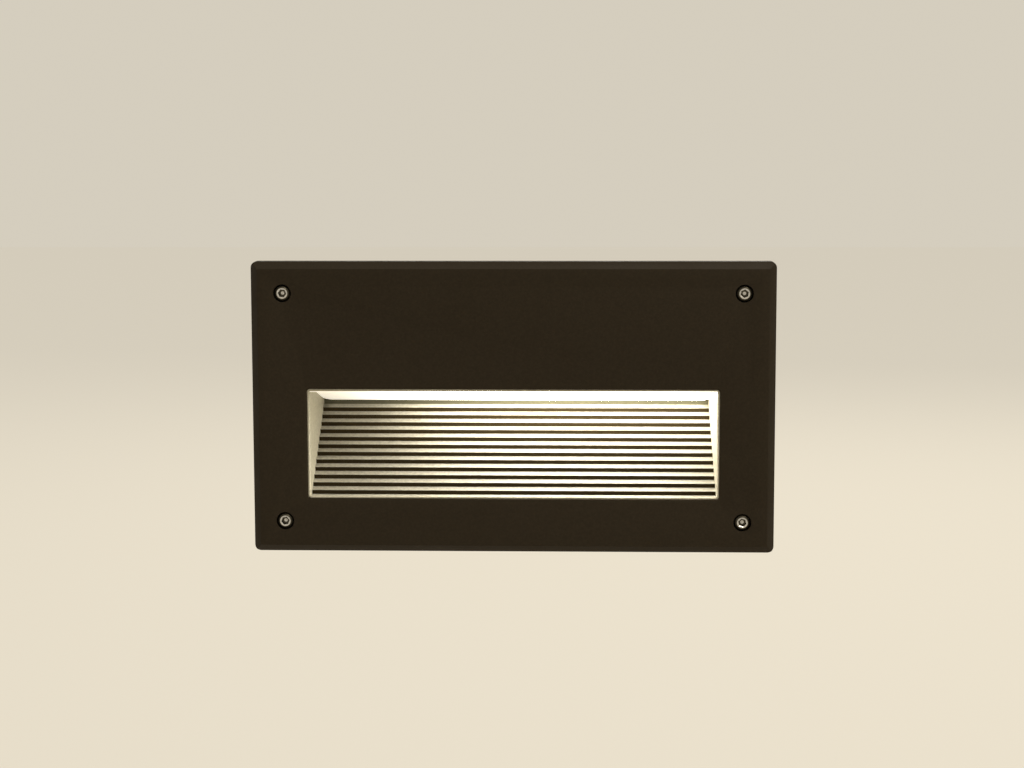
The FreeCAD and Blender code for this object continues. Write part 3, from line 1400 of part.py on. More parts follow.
def make_gland():
    spot = ("-entry_place", "entry_level")
    shank_front = "pad_front - locknut_long"
    shank = rod("gland_shank", "Y", spot, (shank_front, "oring_back"), "entry_dia / 2")
    hexa = hexagon("gland_hexagon", "Y", spot, ("oring_back", "hex_back"), "gland_hex")
    neck = rod("gland_neck", "Y", spot, ("hex_back", "neck_back"), "gland_neck_dia / 2")
    way = rod("gland_way", "Y", spot, (shank_front, "neck_back"), "gland_bore / 2")
    seat = rod("gland_seat", "Y", spot, ("hex_back", "neck_back"), "insert_dia / 2 + thread_gap")
    node(cut("gland_body", fuse("gland_solid", shank, hexa, neck), way, seat))
    make_oring("gland_oring", spot)
    ring = hexagon("locknut_hexagon", "Y", spot, (shank_front, "pad_front"), "locknut_across")
    hole = rod("locknut_hole", "Y", spot, (shank_front, "pad_front"), "entry_dia / 2 + thread_gap")
    node(cut("gland_locknut", ring, hole))
    insert_back = "hex_back + insert_long"
    plug = rod("insert_rod", "Y", spot, ("hex_back", insert_back), "insert_dia / 2")
    cable = rod("insert_bore", "Y", spot, ("hex_back", insert_back), "cable_dia / 2")
    node(cut("gland_insert", plug, cable))
    dome_back = "hex_back + dome_long"
    barrel_span = ("hex_back + edge_air", f"{dome_back} - dome_ease")
    barrel = rod("dome_barrel", "Y", spot, barrel_span, "dome_dia / 2")
    nose_span = (f"{dome_back} - dome_ease", dome_back)
    nose = taper("dome_nose", "Y", spot, nose_span, "dome_dia / 2", "dome_dia / 2 - dome_ease / 2")
    thread_span = ("hex_back", "neck_back + edge_air")
    thread = rod("dome_thread", "Y", spot, thread_span, "gland_neck_dia / 2 + thread_gap")
    room = rod("dome_room", "Y", spot, ("hex_back", f"{insert_back} + edge_air"), "insert_dia / 2 + edge_air")
    mouth = rod("dome_mouth_hole", "Y", spot, ("hex_back", dome_back), "dome_mouth / 2")
    node(cut("gland_nut", fuse("dome_solid", barrel, nose), thread, room, mouth))


def make_oring(name, spot):
    outer = rod(name + "_outer", "Y", spot, ("box_back", "oring_back"), "entry_dia / 2 + oring_wide")
    inner = rod(name + "_inner", "Y", spot, ("box_back", "oring_back"), "entry_dia / 2 + thread_gap")
    return node(cut(name, outer, inner))


def make_blanking_plug():
    spot = ("entry_place", "entry_level")
    shank = rod("plug_shank", "Y", spot, ("pad_front", "oring_back"), "entry_dia / 2")
    head_back = "oring_back + plug_head_long"
    head = rod("plug_head", "Y", spot, ("oring_back", head_back), "plug_head_dia / 2")
    slot = block(
        "plug_slot_cut",
        ("entry_place - plug_head_dia / 2", "entry_place + plug_head_dia / 2"),
        (f"{head_back} - plug_slot", head_back),
        ("entry_level - plug_slot / 2", "entry_level + plug_slot / 2"),
    )
    node(cut("blanking_plug", fuse("plug_solid", shank, head), slot))
    make_oring("plug_oring", spot)


# ---- wiring ------------------------------------------------------------------


def wire(name, points):
    """Insulated wire through a list of points, its corners rounded to one radius."""
    spots = [Vector(*[value(text) for text in point]) for point in points]
    bend, radius = value("wire_bend"), value("wire_dia") / 2
    edges, start = [], spots[0]
    for before, corner, after in zip(spots, spots[1:], spots[2:]):
        back, ahead = (before - corner).normalize(), (after - corner).normalize()
        half = back.getAngle(ahead) / 2
        trim = bend / math.tan(half)
        enter, leave = corner + back * trim, corner + ahead * trim
        inward = (back + ahead).normalize()
        middle = corner + inward * (bend / math.sin(half) - bend)
        edges.append(Part.LineSegment(start, enter).toShape())
        edges.append(Part.Arc(enter, middle, leave).toShape())
        start = leave
    edges.append(Part.LineSegment(start, spots[-1]).toShape())
    path = Part.Wire(edges)
    ring = Part.Wire(Part.Circle(spots[0], spots[1] - spots[0], radius).toShape())
    item = doc.addObject("Part::Feature", name)
    item.Shape = path.makePipeShell([ring], True, False)
    return node(item)


def way_spot(number, level):
    """Place on the axis of a way of the terminal block."""
    return (f"block_left + ({number} + 0.5) * block_pitch", "block_front + way_dia / 2 + way_rim", level)


def make_wires():
    """Supply wires from the block, and the lamp's wires through the grommet."""
    inside = "block_level + block_high / 4"
    outside = "block_level - block_high / 4"
    holder_base = "lamp_level - holder_high / 2"
    rise = "tray_front - grommet_lip - wire_dia / 2 - edge_air"
    lean_from, lean_to = "roof_back + lens_thick * 2", f"{holder_base} - wire_bend"
    turn = "grommet_level - grommet_bore"
    behind = "core_middle"
    push_left = "ballast_left - coil_head - push_block"
    live_x = way_spot(2, inside)[0]
    lamp_x = "grommet_place - grommet_bore / 2 + wire_dia"
    wire(
        "live_wire",
        [
            way_spot(2, inside),
            (live_x, way_spot(2, inside)[1], "grommet_level"),
            (live_x, behind, "grommet_level"),
            (f"{push_left} - push_block", behind, "ballast_level + push_block / 4"),
            (push_left, behind, "ballast_level + push_block / 4"),
        ],
    )
    wire(
        "lamp_wire",
        [
            (push_left, behind, "ballast_level - push_block / 4"),
            (lamp_x, behind, "ballast_level - push_block / 4"),
            (lamp_x, "tray_back + push_block", "grommet_level"),
            (lamp_x, rise, "grommet_level"),
            (lamp_x, rise, lean_from),
            (f"{lamp_x} - ear_long", "seat_back - wire_dia", lean_to),
            (f"{lamp_x} - ear_long", "seat_back - wire_dia", holder_base),
        ],
    )
    neutral = way_spot(0, inside)
    neutral_x = f"{neutral[0]} + wire_bend"
    wire(
        "neutral_wire",
        [
            neutral,
            (neutral[0], neutral[1], turn),
            (neutral_x, rise, "grommet_level"),
            (neutral_x, rise, lean_from),
            (neutral_x, "seat_back - wire_dia", lean_to),
            (neutral_x, "seat_back - wire_dia", holder_base),
        ],
    )
    middle = way_spot(1, outside)
    below = "block_level - block_high / 2 - wire_dia"
    wire(
        "earth_wire",
        [
            middle,
            (middle[0], middle[1], below),
            ("stud_place", "tray_front - wire_dia", below),
            ("stud_place", "tray_front - wire_dia", "stud_level - nut_across"),
        ],
    )


# ---- assembly ----------------------------------------------------------------


def build():
    fill_sheet()
    make_faceplate()
    make_face_gasket()
    for number, spot in enumerate(corners("bolt_x", "bolt_z"), start=1):
        make_face_bolt(number, spot)
    make_scoop()
    make_scoop_gasket()
    make_scoop_screws()
    make_lens()
    make_clips()
    make_box()
    make_tray()
    make_gear_screws()
    make_reflector()
    make_lampholder()
    make_cradle()
    make_lamp()
    make_ballast()
    make_terminal_block()
    make_earth()
    make_grommet()
    make_gland()
    make_blanking_plug()
    make_wires()
    doc.recompute()


def check():
    """Stop if any object failed or any finished piece is not a sound solid."""
    for item in doc.Objects:
        if {"Invalid", "Error"} & set(item.State):
            raise RuntimeError(f"{item.Label} failed: {item.State}")
    for item in nodes:
        shape = item.Shape
        if shape.isNull() or not shape.isValid() or not shape.Solids:
            raise RuntimeError(f"{item.Label} has no valid solid")


def export():
    os.makedirs("parts", exist_ok=True)
    for item in nodes:
        item.Shape.exportStep(f"parts/{item.Label}.step")
    print(f"{len(nodes)} nodes, {sum(len(item.Shape.Solids) for item in nodes)} solids")


build()
check()
export()
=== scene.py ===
"""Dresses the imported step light: its sub-assemblies, their finishes, the studio light and the camera."""
import json
import logging
import math
from dataclasses import dataclass, field
from enum import Enum
from functools import cache
from typing import Sequence

import bmesh
import bpy
from mathutils import Matrix, Vector

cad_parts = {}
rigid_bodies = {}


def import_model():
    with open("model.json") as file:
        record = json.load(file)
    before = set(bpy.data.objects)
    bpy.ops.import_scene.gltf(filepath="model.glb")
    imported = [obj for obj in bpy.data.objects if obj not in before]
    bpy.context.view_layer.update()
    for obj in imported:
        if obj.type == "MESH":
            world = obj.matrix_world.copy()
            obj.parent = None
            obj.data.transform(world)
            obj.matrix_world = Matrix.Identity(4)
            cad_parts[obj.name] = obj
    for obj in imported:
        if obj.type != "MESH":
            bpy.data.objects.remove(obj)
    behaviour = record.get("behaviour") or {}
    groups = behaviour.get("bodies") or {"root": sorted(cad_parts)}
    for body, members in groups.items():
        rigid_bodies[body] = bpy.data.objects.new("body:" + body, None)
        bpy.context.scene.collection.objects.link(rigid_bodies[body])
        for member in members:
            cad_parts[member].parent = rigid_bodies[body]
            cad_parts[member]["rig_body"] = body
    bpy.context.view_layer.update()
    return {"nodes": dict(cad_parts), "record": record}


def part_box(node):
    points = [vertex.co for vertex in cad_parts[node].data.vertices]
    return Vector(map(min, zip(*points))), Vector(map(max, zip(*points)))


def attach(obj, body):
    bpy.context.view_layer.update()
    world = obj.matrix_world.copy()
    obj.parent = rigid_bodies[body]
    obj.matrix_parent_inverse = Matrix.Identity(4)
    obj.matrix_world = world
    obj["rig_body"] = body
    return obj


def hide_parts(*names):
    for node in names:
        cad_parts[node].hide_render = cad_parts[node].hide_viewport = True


LOG = logging.getLogger("step_light")
MM = 0.001
TINY = 1e-6
TURN = 2 * math.pi
QUARTER = math.pi / 2
UPRIGHT = Matrix.Rotation(QUARTER, 4, "X")
Colour = tuple[float, float, float]
Point = tuple[float, float, float]
Pair = tuple[float, float]
Profile = tuple[Pair, ...]
Recipe = tuple[tuple, ...]
Form = bmesh.types.BMesh
Mesh = bpy.types.Mesh
Piece = bpy.types.Object
Socket = bpy.types.NodeSocket


# ---- tree building


class Graph:
    """A small builder for the nodes and links of one tree."""

    family = "ShaderNode"
    spacing = 190

    def __init__(self, tree: bpy.types.NodeTree) -> None:
        """Keeps the tree to build in."""
        self.tree = tree

    def add(self, kind: str, inputs: dict | None = None, **settings: object) -> bpy.types.Node:
        """Adds one node.

        Args:
            kind: The node's type name, which may leave out the tree's family.
            inputs: Values or output sockets, by input name or index.
            **settings: Properties of the node, such as its operation.

        Returns:
            The new node.
        """
        node = self.tree.nodes.new(kind if "Node" in kind else self.family + kind)
        node.location = (len(self.tree.nodes) * self.spacing, 0)
        for key, setting in settings.items():
            setattr(node, key, setting)
        for key, source in (inputs or {}).items():
            self.feed(node.inputs[key], source)
        return node

    def take(self, kind: str, output: object = 0, settings: dict | None = None, **inputs: object) -> Socket:
        """One output of a new node, whose inputs are named with underscores for spaces."""
        named = {name.replace("_", " "): source for name, source in inputs.items()}
        return self.add(kind, named, **(settings or {})).outputs[output]

    def feed(self, socket: Socket, source: object) -> None:
        """Links a socket, or sets its value.

        Args:
            socket: The input socket.
            source: An output socket, or a plain value.
        """
        if isinstance(source, Socket):
            self.tree.links.new(source, socket)
        else:
            opaque = socket.type == "RGBA" and len(source) == 3
            socket.default_value = (*source, 1.0) if opaque else source

    def maths(self, operation: str, *terms: object) -> Socket:
        """The result of one sum on numbers or sockets."""
        return self.add("ShaderNodeMath", dict(enumerate(terms)), operation=operation).outputs[0]

    def remap(self, value: object, ends: Pair, into: Pair = (0.0, 1.0), blend: str = "LINEAR") -> Socket:
        """Carries a value from one range to another, and keeps it between the ends."""
        sides = zip(("Value", "From Min", "From Max", "To Min", "To Max"), (value, *ends, *into))
        return self.add("ShaderNodeMapRange", dict(sides), interpolation_type=blend).outputs["Result"]


class Shading(Graph):
    """The shader tree of one material, with the steps that several finishes share."""

    middle: Pair = (0.3, 0.7)

    def __init__(self, name: str) -> None:
        """Starts a material with one principled surface.

        Args:
            name: The material's name.
        """
        self.material = bpy.data.materials.new(name)
        self.material.use_nodes = True
        super().__init__(self.material.node_tree)
        self.surface = self.tree.nodes["Principled BSDF"]
        self.place = self.take("TexCoord", "Object")

    def set(self, **inputs: object) -> None:
        """Sets the surface's own sockets, with underscores for the spaces in their names."""
        for name, source in inputs.items():
            self.feed(self.surface.inputs[name.replace("_", " ")], source)

    def noise(self, grain: float, detail: float = 3.0, place: Socket | None = None) -> Socket:
        """A noise from 0 to 1 whose patches measure so many millimetres."""
        scale = 1.0 / (grain * MM)
        return self.take("TexNoise", "Fac", Vector=place or self.place, Scale=scale, Detail=detail)

    def between(self, value: Socket, low: float = 0.0, high: float = 1.0) -> Socket:
        """Spreads the middle half of a noise over a range."""
        return self.remap(value, self.middle, (low, high))

    def mix(self, factor: object, first: object, second: object) -> Socket:
        """Mixes two colours, whose sockets come after those for numbers and vectors."""
        return self.add("Mix", {0: factor, 6: first, 7: second}, data_type="RGBA").outputs[2]

    def bump(self, height: Socket, depth: float, strength: float = 0.5) -> None:
        """Adds one more bump on top of those before it.

        Args:
            height: The height as a value from 0 to 1.
            depth: What that range stands for, in millimetres.
            strength: How much of it shows.
        """
        inputs = {"Height": height, "Distance": depth * MM, "Strength": strength}
        socket = self.surface.inputs["Normal"]
        if socket.is_linked:
            inputs["Normal"] = socket.links[0].from_socket
        self.tree.links.new(self.add("Bump", inputs).outputs["Normal"], socket)


# ---- finishes


def toned(colour: Colour, factor: float) -> Colour:
    """A colour made darker or lighter by a factor."""
    return tuple(min(1.0, part * factor) for part in colour)


@dataclass(frozen=True)
class Finish:
    """What every finish has. Patches, grain and relief are in millimetres.

    The wear is how far the roughness strays over its patches, and the spread is the same for the tone.
    """

    slot: str
    colour: Colour
    rough: float = 0.5
    label: str = "finish"
    patch: float = 6.0
    wear: float = 0.06
    spread: float = 0.05
    grain: float = 0.5
    relief: float = 0.01
    metal: float = 0.0

    @cache
    def material(self) -> bpy.types.Material:
        """The finish's material, made the first time that it is asked for.

        Returns:
            The material.
        """
        shading = Shading(f"{self.slot}_{self.label}")
        shading.set(Base_Color=self.colour, Roughness=self.rough)
        shading.material.diffuse_color = (*self.colour, 1.0)
        self.dress(shading)
        return shading.material

    def dress(self, shading: Shading) -> None:
        """Adds the finish's own nodes to the material's tree.

        Args:
            shading: The material's tree.
        """
        raise NotImplementedError

    def shade(self, shading: Shading, grain: float, detail: float) -> None:
        """Varies the colour in patches of some size, with octaves under it."""
        dark, light = (toned(self.colour, 1.0 + side * self.spread) for side in (-1, 1))
        shading.set(Base_Color=shading.mix(shading.between(shading.noise(grain, detail)), dark, light))

    def rub(self, shading: Shading, detail: float = 3.0, source: Socket | None = None) -> None:
        """Varies the roughness over patches, or with a noise that is there already."""
        noise = source or shading.noise(self.patch, detail)
        shading.set(Roughness=shading.between(noise, self.rough - self.wear, self.rough + self.wear))


@dataclass(frozen=True)
class PowderCoat(Finish):
    """A baked powder coat with a fine texture."""

    patch: float = 14.0
    spread: float = 0.12
    grain: float = 0.55
    relief: float = 0.035
    shine: float = 0.4
    mottle: float = 1.7

    def dress(self, shading: Shading) -> None:
        """Adds the coat's pebbled relief and its uneven gloss.

        Args:
            shading: The material's tree.
        """
        self.shade(shading, self.grain * self.mottle, detail=4.0)
        shading.bump(shading.between(shading.noise(self.grain, detail=2.0)), self.relief, strength=0.55)
        self.rub(shading, detail=2.0)
        shading.set(Specular_IOR_Level=self.shine)


@dataclass(frozen=True)
class SandCasting(Finish):
    """Cast metal, matt from its mould, with a grain of small pits."""

    patch: float = 2.5
    wear: float = 0.07
    spread: float = 0.16
    grain: float = 0.8
    relief: float = 0.06
    metal: float = 0.15
    drift: float = 22.0
    pitted: float = 0.75

    def dress(self, shading: Shading) -> None:
        """Adds the grain, the pits and a slow change of tone.

        Args:
            shading: The material's tree.
        """
        slow = shading.between(shading.noise(self.drift, detail=2.0))
        tone = shading.mix(slow, self.colour, toned(self.colour, 1.0 - self.spread / 3))
        pits = shading.noise(self.grain, detail=4.0)
        dark = toned(self.colour, 1.0 - self.spread)
        shading.set(Base_Color=shading.mix(shading.between(pits, self.pitted, 0.0), tone, dark))
        shading.bump(shading.between(pits), self.relief, strength=0.6)
        self.rub(shading, detail=2.0)
        shading.set(Metallic=self.metal)


@dataclass(frozen=True)
class DrawnMetal(Finish):
    """Sheet or bar with faint lines along one way, from rolling, brushing or turning."""

    patch: float = 9.0
    wear: float = 0.08
    grain: float = 0.12
    relief: float = 0.004
    metal: float = 1.0
    lines: Point = (1.0, 1.0, 1.0)

    def dress(self, shading: Shading) -> None:
        """Adds the lines, in the relief and in the gloss.

        Args:
            shading: The material's tree.
        """
        place = shading.take("Mapping", "Vector", Vector=shading.place, Scale=self.lines)
        lines = shading.noise(self.grain, detail=4.0, place=place)
        shading.bump(lines, self.relief)
        self.shade(shading, self.patch, detail=2.0)
        self.rub(shading, source=lines)
        shading.set(Metallic=self.metal)


@dataclass(frozen=True)
class SpangledZinc(Finish):
    """Galvanised sheet with its large crystals."""

    patch: float = 7.0
    wear: float = 0.09
    spread: float = 0.2
    relief: float = 0.008
    metal: float = 0.9

    def dress(self, shading: Shading) -> None:
        """Adds crystals that differ in tone and in gloss.

        Args:
            shading: The material's tree.
        """
        scale = 1.0 / (self.patch * MM)
        cells = shading.take("TexVoronoi", "Color", Vector=shading.place, Scale=scale, Randomness=1.0)
        tone = shading.take("SeparateColor", "Red", Color=cells)
        dark = toned(self.colour, 1.0 - self.spread)
        shading.set(Base_Color=shading.mix(tone, dark, self.colour), Metallic=self.metal)
        gloss = (self.rough - self.wear, self.rough + self.wear)
        shading.set(Roughness=shading.remap(tone, (0.0, 1.0), gloss))
        shading.bump(shading.noise(self.grain), self.relief, strength=0.4)


@dataclass(frozen=True)
class Moulding(Finish):
    """Moulded plastic or rubber with a fine skin, faint flow marks or a bloom, and some depth if milky."""

    grain: float = 0.3
    relief: float = 0.012
    flow: float = 11.0
    detail: float = 2.0
    shine: float = 0.5
    milk: float = 0.0
    depth: float = 2.0

    def dress(self, shading: Shading) -> None:
        """Adds the skin, the marks and the depth.

        Args:
            shading: The material's tree.
        """
        self.shade(shading, self.flow, self.detail)
        shading.bump(shading.noise(self.grain, detail=2.0), self.relief)
        self.rub(shading)
        shading.set(Specular_IOR_Level=self.shine)
        shading.set(Subsurface_Weight=self.milk, Subsurface_Scale=self.depth * MM)


@dataclass(frozen=True)
class LitGlass(Finish):
    """White glass that glows, most over the middle of the lamp behind it and least over its holder.

    Its places along the lamp are in metres, and its glow is a base from left to right with a peak on top.
    """

    patch: float = 1.5
    wear: float = 0.08
    grain: float = 0.4
    relief: float = 0.03
    middle: float = 0.0155
    reach: float = 0.075
    bright: float = 6.0
    ends: float = 0.093
    left: float = 0.6
    right: float = 3.0

    def dress(self, shading: Shading) -> None:
        """Adds the frost and the glow, which fades towards both ends of the lamp.

        Args:
            shading: The material's tree.
        """
        shading.bump(shading.noise(self.grain), self.relief)
        self.rub(shading)
        along = shading.take("SeparateXYZ", "X", Vector=shading.place)
        away = shading.maths("ABSOLUTE", shading.maths("SUBTRACT", along, self.middle))
        peak = shading.remap(away, (0.0, self.reach), (self.bright, 0.0), "SMOOTHSTEP")
        base = shading.remap(along, (-self.ends, self.ends), (self.left, self.right), "SMOOTHSTEP")
        shading.set(Emission_Color=self.colour, Emission_Strength=shading.maths("ADD", peak, base))


@dataclass(frozen=True)
class Laminations(Finish):
    """Varnished steel sheets, stacked, with their edges showing as fine lines."""

    spread: float = 0.55
    grain: float = 0.65
    relief: float = 0.12
    metal: float = 0.55
    waves: float = 3.1831
    rust: Colour = (0.16, 0.07, 0.03)
    rusty: float = 0.55

    def dress(self, shading: Shading) -> None:
        """Adds a line between each sheet and the next, and rusty patches under the varnish.

        Args:
            shading: The material's tree.
        """
        scale = 1.0 / (self.grain * MM) / self.waves
        inputs = {"Vector": shading.place, "Scale": scale, "Distortion": 0.15, "Detail": 1.0}
        waves = shading.add("TexWave", inputs, bands_direction="Y").outputs["Fac"]
        rust = shading.between(shading.noise(self.patch, detail=5.0), 0.0, self.rusty)
        base = shading.mix(rust, self.colour, self.rust)
        lined = shading.mix(waves, toned(self.colour, 1.0 - self.spread), base)
        shading.set(Base_Color=lined, Metallic=self.metal, Coat_Weight=0.4)
        shading.bump(waves, self.relief, strength=0.8)


@dataclass(frozen=True)
class TwoTone(Finish):
    """Wire insulation with a second colour in a stripe along it."""

    second: Colour = (0.5, 0.4, 0.02)
    waves: float = 190.0
    edge: Pair = (0.62, 0.68)

    def dress(self, shading: Shading) -> None:
        """Adds the stripe and the faint marks of the extruder.

        Args:
            shading: The material's tree.
        """
        inputs = {"Vector": shading.place, "Scale": self.waves, "Distortion": 0.0}
        waves = shading.add("TexWave", inputs, bands_direction="DIAGONAL").outputs["Fac"]
        shading.set(Base_Color=shading.mix(shading.remap(waves, self.edge), self.colour, self.second))
        shading.bump(shading.noise(self.grain), self.relief, strength=0.4)


CREAM = (1.0, 0.955, 0.84)
BRONZE = PowderCoat("bronze_coat", (0.0238, 0.0174, 0.0098), 0.58, shine=0.12)
# Painted shade: a dark copy of the cast silver for the step risers, which face away from the lens.
PAINTED_SHADE_RISER = PowderCoat("cast_silver", (0.0240, 0.0165, 0.0062), 0.6, "riser", shine=0.08)
# Painted light: a lighter copy of the cast silver for the lit side walls and the rim of the scoop.
PAINTED_LIGHT_SILVER = SandCasting(
    "cast_silver", (0.50, 0.47, 0.37), 0.5, "drafted", grain=1.1, relief=0.14, spread=0.34
)
# Painted shade: a darker copy of the cast silver for the wall behind the top step, which gets less light.
PAINTED_SHADE_BACK_WALL = SandCasting("cast_silver", (0.060, 0.055, 0.026), 0.6, "back_wall", metal=0.0)
SILVER = SandCasting("cast_silver", (0.335, 0.315, 0.255), 0.55, grain=1.3, relief=0.16, spread=0.46)
STAINLESS = DrawnMetal("stainless", (0.58, 0.56, 0.52), 0.26, lines=(1.0, 0.05, 1.0))
# Painted shade: a dark copy of the stainless for the sockets and the head shoulders of the corner screws.
PAINTED_SHADE_SOCKET = DrawnMetal("stainless", (0.07, 0.062, 0.045), 0.4, "recess")
LENS = LitGlass("frosted_glass", CREAM, bright=0.4, left=0.22, right=0.3)
LIP = LitGlass(
    "frosted_glass", CREAM, label="lit", reach=0.084, bright=11.0, left=0.5, right=11.0, relief=0.02
)
RESIN = Moulding("coil_resin", (0.17, 0.055, 0.018), 0.3, relief=0.03)
BLACK = Moulding("black_plastic", (0.014, 0.014, 0.015), 0.45)
FINISHES: dict[str, Finish] = {
    finish.slot: finish
    for finish in (
        BRONZE, SILVER, STAINLESS, LENS, RESIN, BLACK,
        DrawnMetal("zinc_screw", (0.62, 0.64, 0.66), 0.34),
        DrawnMetal("spring_steel", (0.42, 0.43, 0.45), 0.28, lines=(0.1, 1.0, 1.0)),
        DrawnMetal("mirror_sheet", (0.86, 0.86, 0.87), 0.14, lines=(0.04, 1.0, 1.0)),
        DrawnMetal("brass", (0.72, 0.50, 0.19), 0.3),
        PowderCoat("box_cast", (0.100, 0.102, 0.105), 0.56, grain=1.1, relief=0.14, spread=0.13),
        SpangledZinc("tray_steel", (0.60, 0.61, 0.62), 0.41),
        Laminations("core_steel", (0.050, 0.050, 0.055), 0.38),
        LitGlass(
            "lamp_glass", (1.0, 0.96, 0.88), 0.35,
            reach=0.07, bright=0.25, left=0.32, right=0.38, relief=0.004,
        ),
        Moulding(
            "seal_rubber", (0.012, 0.012, 0.012), 0.61, patch=5.0, wear=0.09, spread=0.35,
            grain=0.35, relief=0.02, flow=3.0, detail=4.0, shine=0.3,
        ),
        Moulding("white_moulding", (0.80, 0.79, 0.75), 0.42),
        Moulding("terminal_plastic", (0.72, 0.71, 0.64), 0.38, milk=0.25),
        Moulding("live_jacket", (0.11, 0.045, 0.018), 0.36),
        Moulding("neutral_jacket", (0.02, 0.08, 0.32), 0.36),
        Moulding("lamp_jacket", (0.78, 0.77, 0.72), 0.38),
        TwoTone("earth_jacket", (0.10, 0.33, 0.04), 0.36, second=(0.62, 0.52, 0.03)),
    )
}


# ---- meshes


def linked(name: str, data: bpy.types.ID) -> Piece:
    """Puts a new object in the scene, at the origin.

    Args:
        name: The object's name.
        data: What it holds.

    Returns:
        The object.
    """
    piece = bpy.data.objects.new(name, data)
    bpy.context.scene.collection.objects.link(piece)
    return piece


def new_piece(name: str, form: Form | None = None, smooth: bool = True) -> Piece:
    """Puts a new mesh object in the scene.

    Args:
        name: The name of the object and of its mesh.
        form: What the mesh holds, which is freed. Without it the mesh is empty.
        smooth: Whether its faces shade smoothly.

    Returns:
        The object.
    """
    mesh = bpy.data.meshes.new(name)
    if form is not None:
        form.to_mesh(mesh)
        form.free()
        mesh.polygons.foreach_set("use_smooth", [smooth] * len(mesh.polygons))
    return linked(name, mesh)


def baked(piece: Piece) -> Piece:
    """Turns an object's modifiers into a plain mesh.

    Args:
        piece: An object with modifiers.

    Returns:
        The same object, without modifiers.
    """
    bpy.context.view_layer.update()
    shown = piece.evaluated_get(bpy.context.evaluated_depsgraph_get())
    mesh = bpy.data.meshes.new_from_object(shown)
    piece.modifiers.clear()
    old, piece.data = piece.data, mesh
    bpy.data.meshes.remove(old)
    mesh.name = piece.name
    drop_empty_slots(mesh)
    return piece


def drop_empty_slots(mesh: Mesh) -> None:
    """Leaves a mesh only the material slots that its faces use.

    Args:
        mesh: The mesh.
    """
    count = len(mesh.materials)
    used = sorted({face.material_index for face in mesh.polygons if face.material_index < count})
    kept = [mesh.materials[index] for index in used]
    if None in kept or len(kept) == count:
        return
    places = [used.index(face.material_index) for face in mesh.polygons]
    mesh.materials.clear()
    for material in kept:
        mesh.materials.append(material)
    mesh.polygons.foreach_set("material_index", places)


def welded(node: Piece, flatten: float = 0.0) -> Form:
    """A copy of a CAD node's mesh with its loose triangles joined.

    Args:
        node: The CAD node.
        flatten: Faces that meet at less than this angle in degrees become one, unless it is 0.

    Returns:
        The copy.
    """
    form = bmesh.new()
    form.from_mesh(node.data)
    bmesh.ops.remove_doubles(form, verts=form.verts, dist=TINY)
    if flatten:
        limits = {"angle_limit": math.radians(flatten), "use_dissolve_boundaries": False}
        bmesh.ops.dissolve_limit(form, verts=form.verts, edges=form.edges, **limits)
    return form


def solids(node: Piece) -> list[list[Vector]]:
    """The vertices of each separate solid of a CAD node.

    Args:
        node: The CAD node.

    Returns:
        One list of places for each solid.
    """
    form = welded(node)
    left, found = set(form.verts), []
    while left:
        group = [left.pop()]
        for corner in group:
            beside = left.intersection(edge.other_vert(corner) for edge in corner.link_edges)
            left -= beside
            group += beside
        found.append([corner.co.copy() for corner in group])
    form.free()
    return found


def soften(mesh: Mesh, sharp: float = 32.0) -> None:
    """Shades a mesh smoothly.

    Args:
        mesh: The mesh.
        sharp: Edges over this many degrees stay sharp, unless it is 0.
    """
    mesh.shade_smooth()
    if sharp:
        mesh.set_sharp_from_angle(angle=math.radians(sharp))


def lofted(rows: Sequence[Sequence[Point]], ends: bool = True) -> Form:
    """Skins closed rows of points, from the first row to the last.

    Args:
        rows: The rows, with as many points each.
        ends: Whether both ends are filled. Otherwise the last row joins the first, as on a washer.

    Returns:
        The form.
    """
    form = bmesh.new()
    rings = [[form.verts.new(point) for point in row] for row in rows]
    for lower, upper in zip(rings, rings[1:] if ends else rings[1:] + rings[:1]):
        for n in range(len(lower)):
            after = (n + 1) % len(lower)
            form.faces.new((lower[n], lower[after], upper[after], upper[n]))
    if ends:
        form.faces.new(rings[0][::-1])
        form.faces.new(rings[-1])
    bmesh.ops.recalc_face_normals(form, faces=form.faces)
    return form


@dataclass(frozen=True)
class Outline:
    """A closed line about the middle, here a circle, with its reach and the width of any arms."""

    reach: float
    arm: float = 0.0

    def radius(self, angle: float) -> float:
        """Its distance from the middle at one angle."""
        return self.reach


class Hexagon(Outline):
    """A hexagon, with its flats at the reach."""

    def radius(self, angle: float) -> float:
        """Its distance from the middle at one angle."""
        return self.reach / math.cos((angle + math.pi / 6) % (math.pi / 3) - math.pi / 6)


class Cross(Outline):
    """A cross, with the ends of its arms at the reach."""

    def radius(self, angle: float) -> float:
        """Its distance from the middle at one angle."""
        turned = abs((angle + math.pi / 4) % QUARTER - math.pi / 4)
        return min(self.reach / math.cos(turned), self.arm / 2 / max(math.sin(turned), TINY))


class Slot(Outline):
    """A slot, with its round ends at the reach."""

    def radius(self, angle: float) -> float:
        """Its distance from the middle at one angle."""
        return min(self.reach, self.arm / 2 / max(abs(math.sin(angle)), TINY))


@dataclass(frozen=True)
class Ring:
    """An outline at a height, which may be scaled and then grown."""

    outline: Outline
    height: float
    scale: float = 1.0
    grown: float = 0.0

    def point(self, angle: float) -> Point:
        """Its point at one angle."""
        radius = self.outline.radius(angle) * self.scale + self.grown
        return (radius * math.cos(angle), radius * math.sin(angle), self.height)


def circles(*rows: Pair) -> list[Ring]:
    """Round rings, from pairs of a radius and a height."""
    return [Ring(Outline(radius), height) for radius, height in rows]


def lathe(rings: Sequence[Ring], steps: int, ends: bool = True) -> Form:
    """A form turned about Z, with so many points round each ring."""
    angles = [TURN * step / steps for step in range(steps)]
    return lofted([[ring.point(angle) for angle in angles] for ring in rings], ends)


# ---- geometry trees


